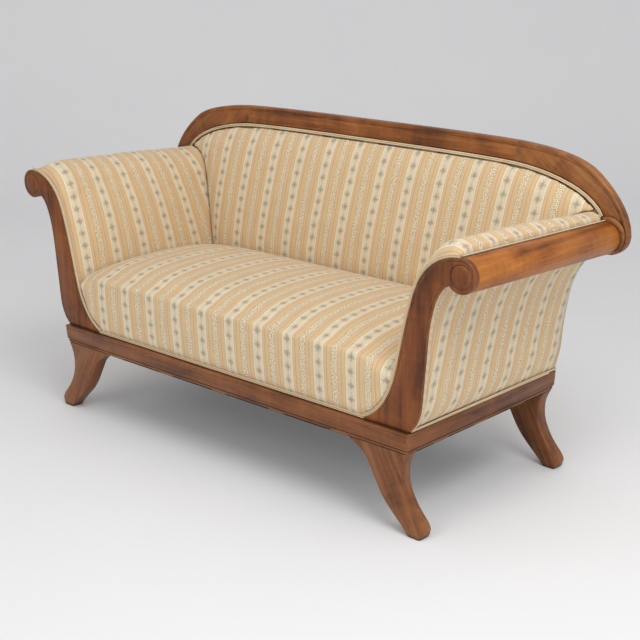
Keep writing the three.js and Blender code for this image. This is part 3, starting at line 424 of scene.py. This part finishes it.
# %% Piping, jute, steel and lining
def make_weave(name, colour, gap_colour, pitch, roughness):
    material, tree, principled = new_material(name, colour, Roughness=roughness)
    spots = add_node(tree, "ShaderNodeSeparateXYZ", None, {0: object_spot(tree)}).outputs
    waves = [calc(tree, "SINE", calc(tree, "MULTIPLY", spots[axis], 2 * pi / pitch)) for axis in "XYZ"]
    weave = calc(tree, "ADD", calc(tree, "ADD", waves[0], waves[1]), waves[2])
    frayed = calc(tree, "MULTIPLY_ADD", noise(tree, object_spot(tree), 160.0, 4.0), 1.6, weave)
    share = calc(tree, "MULTIPLY_ADD", frayed, 0.22, 0.4, clamp=True)
    tree.links.new(mix(tree, share, gap_colour, colour), principled.inputs["Base Color"])
    bump(tree, principled, frayed, 0.5, 0.0004)
    return material


def make_steel():
    material, tree, principled = new_material("spring_steel", linear(140, 142, 144), Metallic=1.0)
    stain = noise(tree, object_spot(tree), 60.0, 5.0)
    colour = mix(tree, calc(tree, "MULTIPLY_ADD", stain, 3.0, -1.3, clamp=True), linear(150, 152, 155),
                 linear(110, 96, 84))
    tree.links.new(colour, principled.inputs["Base Color"])
    tree.links.new(calc(tree, "MULTIPLY_ADD", stain, 0.4, 0.2), principled.inputs["Roughness"])
    return material


cord_cloth = make_weave("piping_cloth", linear(226, 206, 172), linear(190, 162, 122), 0.0024, 0.85)
jute = make_weave("jute_webbing", linear(170, 138, 94), linear(112, 86, 54), 0.0045, 0.95)
lining = make_weave("black_lining", linear(58, 54, 50), linear(28, 26, 24), 0.0016, 0.95)
steel = make_steel()
print("small finishes ready")

# %% [markdown]
# A CAD node is a faceted solid. Where its wood shows, a copy of it is made, its loose
# triangles are joined, and its arrises are rounded with a bevel, as a plane and sandpaper
# round them on the real piece. Then the flat facets of a curve are shaded as one surface.

# %% Helpers for pieces
def only(*objects):
    bpy.ops.object.select_all(action="DESELECT")
    for each in objects:
        each.select_set(True)
    bpy.context.view_layer.objects.active = objects[-1]


def copied_node(node, name):
    copy = bpy.data.objects.new(name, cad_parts[node].data.copy())
    bpy.context.scene.collection.objects.link(copy)
    copy.data.materials.clear()
    only(copy)
    bpy.ops.object.mode_set(mode="EDIT")
    bpy.ops.mesh.select_all(action="SELECT")
    bpy.ops.mesh.remove_doubles(threshold=0.00002)
    bpy.ops.mesh.dissolve_limited(angle_limit=radians(0.4))
    bpy.ops.object.mode_set(mode="OBJECT")
    return copy


def apply_modifier(piece, name, kind, **settings):
    modifier = piece.modifiers.new(name, kind)
    for label, value in settings.items():
        setattr(modifier, label, value)
    only(piece)
    bpy.ops.object.modifier_apply(modifier=name)


def finish_piece(piece, material, slot, *replaced):
    piece.data.materials.clear()
    piece.data.materials.append(material)
    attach(piece, "root")
    if replaced:
        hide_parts(*replaced)


def smooth(piece, angle=40):
    only(piece)
    bpy.ops.object.shade_smooth_by_angle(angle=radians(angle))


def round_arrises(piece, width, sharp=35):
    apply_modifier(piece, "arris", "BEVEL", width=width, segments=2, limit_method="ANGLE",
                   angle_limit=radians(sharp), use_clamp_overlap=True, miter_outer="MITER_ARC")
    smooth(piece)


def wood_piece(node, wood, width=0.0015):
    piece = copied_node(node, f"{node}_wood")
    round_arrises(piece, width)
    finish_piece(piece, woods[wood], "show_wood", node)


print("piece helpers ready")

# %% [markdown]
# The rails, legs and rolls are joiner's work with plain faces, so a rounded copy of the
# solid is enough. The grain of each runs along its length.

# %% Rails, legs, rolls and bosses
for node in ("front_rail", "back_rail"):
    wood_piece(node, "long", 0.0012)
for side in ("right", "left"):
    wood_piece(f"{side}_side_rail", "deep", 0.0012)
    wood_piece(f"{side}_arm_roll", "roll", 0.0015)
    wood_piece(f"{side}_scroll_boss", "tall", 0.0006)
    wood_piece(f"{side}_crest_collar", f"{side}_crest", 0.004)
    for end in ("front", "rear"):
        wood_piece(f"{end}_{side}_leg", f"{side}_leg", 0.003)
print("rails, legs, rolls and bosses made")

# %% [markdown]
# The crest and the arm facings carry a thin incised line that follows the edge. A joiner
# cuts it with a scratch stock, and here a thin rod, bent along the same path, is taken out
# of the wood with a boolean. The path is written with the control points of the curve, as
# shares of the crest's reach and drop, so it follows the outline of the solid.

# %% Incised lines
part_shift = 0.0185
rail_top = 0.293
crest_top = 0.963
crest_rake = 0.037
crest_reach = 0.947
crest_rise = 0.233
crest_end = Vector((0.890, 0.730))
crest_end_radius = 0.057
crest_front = 0.318
crest_width = 0.058
crest_line_inset = 0.014
scratch_thickness = 0.0038
scratch_lift = 0.0002
crest_outer_shares = [
    (0, 0), (0.2, 0), (0.486, 0.0034), (0.5913, 0.0234), (0.7117, 0.0489), (0.8289, 0.1128),
    (0.8828, 0.3021), (0.9398, 0.4809), (0.9979, 0.7362), (1, 1),
]
print("scratch stock set to", crest_line_inset, "m from the edge")

# %% Helpers for incised lines
def bezier_line(points, steps):
    line = [Vector(points[0])]
    for first in range(0, len(points) - 3, 3):
        a, b, c, d = (Vector(point) for point in points[first:first + 4])
        for step in range(1, steps + 1):
            t = step / steps
            u = 1 - t
            line.append(u ** 3 * a + 3 * u * u * t * b + 3 * u * t * t * c + t ** 3 * d)
    return line


def moved_aside(line, distance):
    moved = []
    for k, point in enumerate(line):
        along = (line[min(k + 1, len(line) - 1)] - line[max(k - 1, 0)]).normalized()
        moved.append(Vector((point.x - along.y * distance, point.y + along.x * distance)))
    return moved


def lean_at(z):
    return crest_rake * (z - rail_top) / (crest_top - rail_top)


def on_circle(centre, radius, angle):
    return centre + radius * Vector((cos(radians(angle)), sin(radians(angle))))


def rod_along(path, name, thickness):
    curve = bpy.data.curves.new(name, "CURVE")
    curve.dimensions = "3D"
    curve.bevel_depth = thickness / 2
    curve.bevel_resolution = 1
    curve.use_fill_caps = True
    spline = curve.splines.new("POLY")
    spline.points.add(len(path) - 1)
    for point, place in zip(spline.points, path):
        point.co = (*place, 1)
    rod = bpy.data.objects.new(name, curve)
    bpy.context.scene.collection.objects.link(rod)
    only(rod)
    bpy.ops.object.convert(target="MESH")
    return bpy.context.object


def incise(piece, rod):
    apply_modifier(piece, "incised", "BOOLEAN", operation="DIFFERENCE", object=rod, solver="EXACT")


print("line helpers ready")

# %% The crest's lines and its cut
crest_inner_shares = [
    (0, 0), (0.2112, 0), (0.4646, 0), (0.5913, 0.0565), (0.7392, 0.1391), (0.8786, 0.4828),
]
crest_inner_end = on_circle(crest_end, crest_end_radius, -246)
crest_inner_top = crest_top - crest_width
crest_inner_points = [(x * crest_reach, crest_inner_top + z * (crest_inner_end.y - crest_inner_top))
                      for x, z in crest_inner_shares]
crest_inner = bezier_line(crest_inner_points + [crest_inner_end], 10)
crest_outer = bezier_line([(x * crest_reach, crest_top - z * crest_rise) for x, z in crest_outer_shares], 8)
crest_scroll = [on_circle(crest_end, crest_end_radius, angle) for angle in range(-12, -125, -12)]
line_in = moved_aside(crest_outer + crest_scroll, -crest_line_inset)
whole_line = [Vector((-p.x, p.y)) for p in reversed(line_in[1:])] + line_in
crest_path = [(p.x, crest_front + lean_at(p.y) - part_shift - scratch_lift, p.y) for p in whole_line]
crest_rod = rod_along(crest_path, "crest_scratch_rod", scratch_thickness)
crest_woods = {
    "crest_centre": "crest", "right_crest_side": "right_crest", "left_crest_side": "left_crest",
}
for node, wood in crest_woods.items():
    piece = copied_node(node, f"{node}_wood")
    incise(piece, crest_rod)
    round_arrises(piece, 0.0016)
    finish_piece(piece, woods[wood], "show_wood", node)
bpy.data.objects.remove(crest_rod)
print("crest incised over", len(crest_path), "points")

# %% [markdown]
# The arm facings are scratched in the same way. One line runs up the inner edge and winds
# into the scroll, and another follows the outer edge. Both are written as shares of the
# facing's width and rise, like the outline of the solid.

# %% Arm facings with their scroll lines
toe_x = 0.570
scroll = Vector((0.885, 0.747))
scroll_radius = 0.046
facing_front = -0.333
arm_inner_shares = [
    (0, 0.012), (0.175, 0.055), (0.298, 0.174), (0.356, 0.334), (0.3996, 0.454), (0.483, 0.714),
    (0.565, 0.824), (0.6246, 0.904), (0.762, 0.994),
]
arm_outer_shares = [
    (0.492, 0), (0.578, 0.038), (0.629, 0.104), (0.635, 0.192), (0.648, 0.294), (0.67, 0.434),
    (0.683, 0.53), (0.705, 0.694), (0.778, 0.83),
]
seam_angle, cusp_angle = 98, -138


def arm_points(shares, centre, radius, end_angle):
    rise = centre.y + radius - rail_top
    points = [(toe_x + x * (centre.x - toe_x), rail_top + z * rise) for x, z in shares]
    return points + [on_circle(centre, radius, end_angle)]


inner_line = bezier_line(arm_points(arm_inner_shares, scroll, scroll_radius, seam_angle), 8)
outer_line = bezier_line(arm_points(arm_outer_shares, scroll, scroll_radius, cusp_angle), 8)
turn_in = 0.007
spiral_turn, spiral_closing = 400, 0.012
spiral = []
for angle in range(seam_angle - 10, seam_angle - spiral_turn, -12):
    spent = (seam_angle - angle) / spiral_turn
    spiral.append(on_circle(scroll, scroll_radius - turn_in - spiral_closing * spent, angle))
inner_scratch = [p for p in moved_aside(inner_line, -turn_in) if p.y > rail_top + 0.03] + spiral
outer_scratch = [p for p in moved_aside(outer_line, turn_in) if p.y > rail_top + 0.012][:-1]
for side, sign in (("right", 1), ("left", -1)):
    piece = copied_node(f"{side}_arm_facing", f"{side}_arm_facing_wood")
    for label, line in (("inner", inner_scratch), ("outer", outer_scratch)):
        path = [(sign * p.x, facing_front - part_shift - scratch_lift, p.y) for p in line]
        rod = rod_along(path, f"{side}_{label}_scratch_rod", scratch_thickness)
        incise(piece, rod)
        bpy.data.objects.remove(rod)
    round_arrises(piece, 0.0014)
    finish_piece(piece, woods["tall"], "show_wood", f"{side}_arm_facing")
print("facings incised")

# %% [markdown]
# The rest of the frame is beech that the cover hides. It keeps its CAD shape and only gets
# its material, as do the webbing, springs and hessian.

# %% Hidden frame and springing
def dress(node, material):
    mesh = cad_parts[node].data
    mesh.materials.clear()
    mesh.materials.append(material)


hidden = ["back_tacking_rail", "back_upright"]
for side in ("right", "left"):
    hidden += [f"{side}_front_arm_post", f"{side}_arm_tacking_rail", f"{side}_back_post",
               f"{side}_back_wing", f"{side}_crest_spline", f"front_{side}_corner_block",
               f"rear_{side}_corner_block"]
for node in hidden:
    dress(node, woods["beech"])
for node in ("back_webbing", "seat_webbing", "seat_hessian"):
    dress(node, jute)
for row in range(1, 6):
    dress(f"spring_row_{row}", steel)
print("hidden nodes dressed:", len(hidden) + 8)

# %% [markdown]
# An upholsterer lays a tape over a pad to see where the stripes will fall. The same is done
# here: the pad's section is a line of points, each point of the cover finds its nearest
# place on that line, and the length up to there is its measure along the stripe. With the
# measure across, this makes the cloth's own map, so the flowers keep their true spacing
# over the rolled edge of the seat and over the arm.

# %% Tape over a pad
def nearest_on(line, a, b):
    starts, reaches = np.array(line[:-1]), np.diff(np.array(line), axis=0)
    lengths = np.linalg.norm(reaches, axis=1)
    before = np.cumsum(lengths) - lengths
    spots = np.stack((a, b), axis=1)[:, None]
    shares = np.clip(((spots - starts) * reaches).sum(axis=2) / lengths ** 2, 0, 1)
    gaps = np.linalg.norm(starts + shares[..., None] * reaches - spots, axis=2)
    nearest = gaps.argmin(axis=1)
    rows = np.arange(len(nearest))
    return gaps[rows, nearest], before[nearest] + shares[rows, nearest] * lengths[nearest]


def places_of(mesh):
    places = np.empty(3 * len(mesh.vertices))
    mesh.vertices.foreach_get("co", places)
    return places.reshape(-1, 3)


def lay_cloth(piece, across, along):
    mesh = piece.data
    x, y, z = places_of(mesh).T
    corners = np.empty(len(mesh.loops), dtype=np.int32)
    mesh.loops.foreach_get("vertex_index", corners)
    laid = np.stack((across(x, y, z), along(x, y, z)), axis=1)[corners]
    mesh.uv_layers.new(name="cloth").data.foreach_set("uv", laid.ravel())


print("tape helpers ready")

# %% [markdown]
# Each cover has its own cut. The seat and the inside arms are measured along a tape that is
# bent like the pad, and the back and the outside pieces are nearly flat, so their height is
# their length. The stripes of the arms and of the back lean a little, as they do on the
# real piece.

# %% Cuts of the cloth
seat_tape = [
    (-0.3605, 0.280), (-0.3605, 0.445), (-0.3555, 0.460), (-0.3475, 0.472), (-0.3325, 0.488),
    (-0.2945, 0.506), (-0.2535, 0.518), (-0.2035, 0.525), (-0.1435, 0.529), (-0.0535, 0.531),
    (0.0315, 0.528), (0.1015, 0.520), (0.1675, 0.506), (0.2065, 0.492), (0.2325, 0.477),
]
arm_tape = [
    (0.660, 0.420), (0.678, 0.480), (0.690, 0.512), (0.707, 0.588), (0.728, 0.664), (0.753, 0.740),
    (0.773, 0.770), (0.800, 0.794), (0.830, 0.804), (0.860, 0.803), (0.890, 0.795),
]
seat_start, seat_repeat = 0.057, 0.1188
back_start, back_bottom, back_slant, back_length_share = 0.060, 0.57, 0.085, 1.03
arm_start, arm_level, arm_fan, fan_front = 0.1965, 0.51, 0.3, 0.3185
outside_start, outside_level, outside_slant, outside_repeat = 0.3025, 0.39, 0.165, 0.12


def across_arm(x, y, z):
    return (y + fan_front) / (1 - arm_fan * (z - arm_level)) - fan_front - part_shift + arm_start


def across_outside(x, y, z):
    slanted = outside_slant * (z - outside_level)
    return (y + outside_start - slanted) * stripe_repeat / outside_repeat


def upright(x, y, z):
    return z


cuts = {
    "seat": (lambda x, y, z: (x - seat_start) * stripe_repeat / seat_repeat,
             lambda x, y, z: nearest_on(seat_tape, y, z)[1]),
    "back": (lambda x, y, z: x - back_start - back_slant * (z - back_bottom),
             lambda x, y, z: back_length_share * z),
    "inside_arm": (across_arm, lambda x, y, z: nearest_on(arm_tape, np.abs(x), z)[1]),
    "outside_arm": (across_outside, upright),
    "outside_back": (lambda x, y, z: x - back_start, upright),
}
print("cuts of cloth:", sorted(cuts))

# %% [markdown]
# The pads are stuffed and covered tight. Each starts as a copy of its CAD solid, which is
# remeshed into small even faces and blown up a little by the Cloth simulation, as stuffing
# pushes a cover out between its seams. How far a point may move is capped, the simulation
# is applied, and one subdivision gives a smooth cover. The stitched roll along the front
# of the seat stays crisp, so the cover is drawn out a few millimetres over it.

# %% Crisp edges of the pads
seat_edge_y, seat_edge_z, seat_edge_push, seat_edge_width = -0.349, 0.471, 0.013, 0.019
seat_edge_end, seat_edge_fade = 0.63, 0.06
back_edge_push, back_edge_width, back_edge_rear = 0.009, 0.022, 0.30


def draw_seat_edge(x, y, z):
    gap = np.hypot(y - seat_edge_y, z - seat_edge_z)
    ends = np.clip((seat_edge_end - np.abs(x)) / seat_edge_fade, 0, 1)
    push = seat_edge_push * ends * np.exp(-(gap / seat_edge_width) ** 2)
    return 0 * x, -0.78 * push, 0.62 * push


def draw_back_edge(x, y, z):
    gap = nearest_on(crest_inner, np.abs(x), z)[0]
    push = back_edge_push * np.exp(-(gap / back_edge_width) ** 2) * (y < back_edge_rear)
    return 0 * x, -0.8 * push, 0.8 * push


print("edges drawn out by", seat_edge_push, "and", back_edge_push, "m")

# %% Pads
stuffing_pressure, stuffing_frames = 4, 20


def stuff(pad, swell):
    start = [vertex.co.copy() for vertex in pad.data.vertices]
    cloth = pad.modifiers.new("stuffing", "CLOTH")
    cloth.settings.use_pressure = True
    cloth.settings.uniform_pressure_force = stuffing_pressure
    cloth.settings.effector_weights.gravity = 0
    cloth.settings.quality = 4
    cloth.collision_settings.use_collision = False
    cloth.point_cache.frame_start = 1
    cloth.point_cache.frame_end = stuffing_frames
    for step in range(1, stuffing_frames + 1):
        bpy.context.scene.frame_set(step)
    only(pad)
    bpy.ops.object.modifier_apply(modifier="stuffing")
    bpy.context.scene.frame_set(1)
    for vertex, place in zip(pad.data.vertices, start):
        moved = vertex.co - place
        if moved.length > swell:
            vertex.co = place + moved * (swell / moved.length)


def make_pad(node, name, voxel, swell, cut, edge=None):
    pad = copied_node(node, name)
    pad.data.remesh_voxel_size = voxel
    only(pad)
    bpy.ops.object.voxel_remesh()
    apply_modifier(pad, "even", "SMOOTH", factor=0.5, iterations=5)
    stuff(pad, swell)
    apply_modifier(pad, "cover", "SUBSURF", levels=1, render_levels=1)
    if edge:
        places = places_of(pad.data)
        places += np.stack(edge(*places.T), axis=1)
        pad.data.vertices.foreach_set("co", places.ravel())
    only(pad)
    bpy.ops.object.shade_smooth()
    lay_cloth(pad, *cuts[cut])
    finish_piece(pad, brocade, "brocade", node)
    print(name, len(pad.data.vertices), "vertices")


wide_voxel, arm_voxel, most_swell = 0.009, 0.007, 0.003
make_pad("seat_pad", "seat_cover", wide_voxel, most_swell, "seat", draw_seat_edge)
make_pad("inside_back_pad", "back_cover", wide_voxel, most_swell, "back", draw_back_edge)
for side in ("right", "left"):
    make_pad(f"{side}_inside_arm_pad", f"{side}_arm_cover", arm_voxel, most_swell, "inside_arm")

# %% [markdown]
# The outside arms and the outside back are cloth stretched over an open frame. A copy of
# each thin panel keeps its hollow sweep up to the roll, and its facets are shaded as one.


def make_cover(node, name, cut):
    cover = copied_node(node, name)
    only(cover)
    bpy.ops.object.mode_set(mode="EDIT")
    bpy.ops.mesh.select_all(action="SELECT")
    bpy.ops.mesh.quads_convert_to_tris()
    bpy.ops.mesh.subdivide(number_cuts=3)
    bpy.ops.object.mode_set(mode="OBJECT")
    smooth(cover, 30)
    lay_cloth(cover, *cuts[cut])
    finish_piece(cover, brocade, "brocade", node)
    print(name, len(cover.data.vertices), "vertices")


for side in ("right", "left"):
    make_cover(f"{side}_outside_arm_panel", f"{side}_outside_cover", "outside_arm")
make_cover("outside_back_panel", "outside_back_cover", "outside_back")

# %% [markdown]
# The dust cover is thin black lining tacked by its edge to the underside of the rails. A
# copy of its flat panel is bisected into small faces, and its middle is let down a few
# millimetres, because a lining that is held only by its edge always hangs a little.

# %% Dust cover
lining_drop = 0.004
lining_cuts = (15, 7)


def hang_lining(piece, low, high):
    bpy.ops.object.mode_set(mode="EDIT")
    for axis, count in enumerate(lining_cuts):
        normal = [0.0, 0.0, 0.0]
        normal[axis] = 1.0
        for step in range(1, count + 1):
            spot = list(low)
            spot[axis] += (high[axis] - low[axis]) * step / (count + 1)
            bpy.ops.mesh.select_all(action="SELECT")
            bpy.ops.mesh.bisect(plane_co=spot, plane_no=normal)
    bpy.ops.object.mode_set(mode="OBJECT")
    places = places_of(piece.data)
    middle = (np.array(low) + np.array(high)) / 2
    across, along = ((places - middle) / (np.array(high) - middle)).T[:2]
    places[:, 2] -= lining_drop * (1 - across ** 2) * (1 - along ** 2)
    piece.data.vertices.foreach_set("co", places.ravel())


lining_cover = copied_node("dust_cover", "lining_cover")
hang_lining(lining_cover, *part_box("dust_cover"))
smooth(lining_cover, 30)
finish_piece(lining_cover, lining, "lining", "dust_cover")
print("lining_cover", len(lining_cover.data.vertices), "vertices")

# %% [markdown]
# Double piping covers each joint of cloth and wood and hides the tacks. It is two round
# cords side by side under one strip of cloth, so two thin rods run along the joint, each
# moved a little further from the wood. The flat gimp beside the roll and up the outside of
# the arm keeps the form of its CAD solid, and a double cord runs from it along the rail.

# %% Double cords
cord_thickness = 0.0052
cord_rows = (0.5, 1.46)


def double_cord(name, paths, node, *others):
    cords = [rod_along(path, f"{name}_{k}", cord_thickness) for k, path in enumerate(paths)]
    only(*others, *cords)
    bpy.ops.object.join()
    piece = bpy.context.object
    piece.name = name
    smooth(piece, 60)
    finish_piece(piece, cord_cloth, "gimp", node)


cord_front = facing_front - part_shift + cord_thickness * 0.55
foot_front, foot_rear = -0.3440, 0.2880
foot_rows = ((0.7300, 0.2960, 0.7355, 0.2960), (0.7336, 0.3000, 0.7370, 0.3010))
paths = []
for row in cord_rows:
    half = moved_aside(crest_inner, -cord_thickness * row)
    whole = [Vector((-p.x, p.y)) for p in reversed(half[1:])] + half
    paths.append([(p.x, crest_front + lean_at(p.y) - part_shift - 0.0015, p.y) for p in whole])
double_cord("back_double_cord", paths, "back_piping")
paths = []
for row in cord_rows:
    height = rail_top + 0.0004 + cord_thickness * row
    paths.append([(x * (toe_x + 0.004), cord_front, height) for x in (-1, -0.5, 0, 0.5, 1)])
double_cord("seat_double_cord", paths, "seat_piping")
for side, sign in (("right", 1), ("left", -1)):
    paths = []
    for row in cord_rows:
        line = moved_aside(inner_line, cord_thickness * row)
        paths.append([(sign * p.x, cord_front, p.y) for p in line])
    double_cord(f"{side}_facing_double_cord", paths, f"{side}_facing_piping")
    gimp = copied_node(f"{side}_outside_arm_piping", f"{side}_outside_arm_gimp")
    paths = [[(sign * front_x, foot_front, front_z), (sign * rear_x, foot_rear, rear_z)]
             for front_x, front_z, rear_x, rear_z in foot_rows]
    double_cord(f"{side}_outside_arm_double_cord", paths, f"{side}_outside_arm_piping", gimp)
    piece = copied_node(f"{side}_arm_roll_piping", f"{side}_arm_roll_cord")
    smooth(piece, 70)
    finish_piece(piece, cord_cloth, "gimp", f"{side}_arm_roll_piping")
print("piping made")

# %% [markdown]
# The settee stands in a plain pale studio. A sweep of paper makes floor and backdrop in
# one, without a line where they meet.

# %% Floor and backdrop
def make_paper():
    material, tree, principled = new_material("studio_paper", linear(231, 231, 233), Roughness=0.95)
    mottle = noise(tree, object_spot(tree), 1.2, 2.0)
    colour = mix(tree, mottle, linear(229, 229, 231), linear(234, 234, 235))
    tree.links.new(colour, principled.inputs["Base Color"])
    return material


view_turn = radians(43.166)
room_half, bend_start, bend_radius, wall_top = 9.0, 3.4, 1.8, 6.0
bend_steps = 14
profile = [(-8.0, 0.0), (bend_start, 0.0)]
for k in range(1, bend_steps + 1):
    bent = k / bend_steps * pi / 2
    profile.append((bend_start + bend_radius * sin(bent), bend_radius * (1 - cos(bent))))
profile += [(bend_start + bend_radius, wall_top)]
places, faces = [], []
for k, (away, up) in enumerate(profile):
    places += [(-room_half, away, up), (room_half, away, up)]
    if k:
        faces.append((2 * k - 2, 2 * k - 1, 2 * k + 1, 2 * k))
sweep = bpy.data.meshes.new("studio_sweep")
sweep.from_pydata(places, [], faces)
sweep.transform(Matrix.Rotation(view_turn, 4, "Z"))
paper = bpy.data.objects.new("studio_sweep", sweep)
bpy.context.scene.collection.objects.link(paper)
only(paper)
bpy.ops.object.shade_smooth()
paper.data.materials.append(make_paper())
print("paper sweep with", len(faces), "faces")

# %% [markdown]
# One big soft lamp high on the right does most of the work and lets the shadows of the legs
# run to the left. Weaker ones fill from the front and the right, and the world lifts the
# rest evenly.

# %% Light and camera
def soft_lamp(name, place, aim, size, power):
    lamp = bpy.data.lights.new(name, "AREA")
    lamp.shape = "DISK"
    lamp.size = size
    lamp.energy = power
    holder = bpy.data.objects.new(name, lamp)
    bpy.context.scene.collection.objects.link(holder)
    holder.location = place
    holder.rotation_euler = (Vector(aim) - Vector(place)).to_track_quat("-Z", "Y").to_euler()


soft_lamp("top_lamp", (2.2, -1.0, 3.4), (0.1, 0.0, 0.4), 2.4, 60.0)
soft_lamp("front_lamp", (0.2, -4.4, 2.4), (0.0, 0.0, 0.5), 3.0, 42.0)
soft_lamp("right_lamp", (4.2, -0.9, 1.9), (0.3, 0.0, 0.5), 2.6, 20.0)
world = bpy.data.worlds.new("studio_air")
world.use_nodes = True
world.node_tree.nodes["Background"].inputs["Color"].default_value = (1.0, 1.0, 1.0, 1.0)
world.node_tree.nodes["Background"].inputs["Strength"].default_value = 0.63
bpy.context.scene.world = world

camera_place = (2.786, -2.8812, 1.611)
look_down, roll, lens = 17.153, -0.489, 75.137
camera_data = bpy.data.cameras.new("photo_camera")
camera_data.sensor_width = 36.0
camera_data.lens = lens
camera_data.clip_end = 60.0
camera = bpy.data.objects.new("photo_camera", camera_data)
bpy.context.scene.collection.objects.link(camera)
camera.matrix_world = (
    Matrix.Translation(camera_place)
    @ Matrix.Rotation(view_turn, 4, "Z")
    @ Matrix.Rotation(radians(90 - look_down), 4, "X")
    @ Matrix.Rotation(radians(roll), 4, "Z")
)
bpy.context.scene.camera = camera
bpy.context.scene.view_settings.view_transform = "Standard"
print("studio ready")
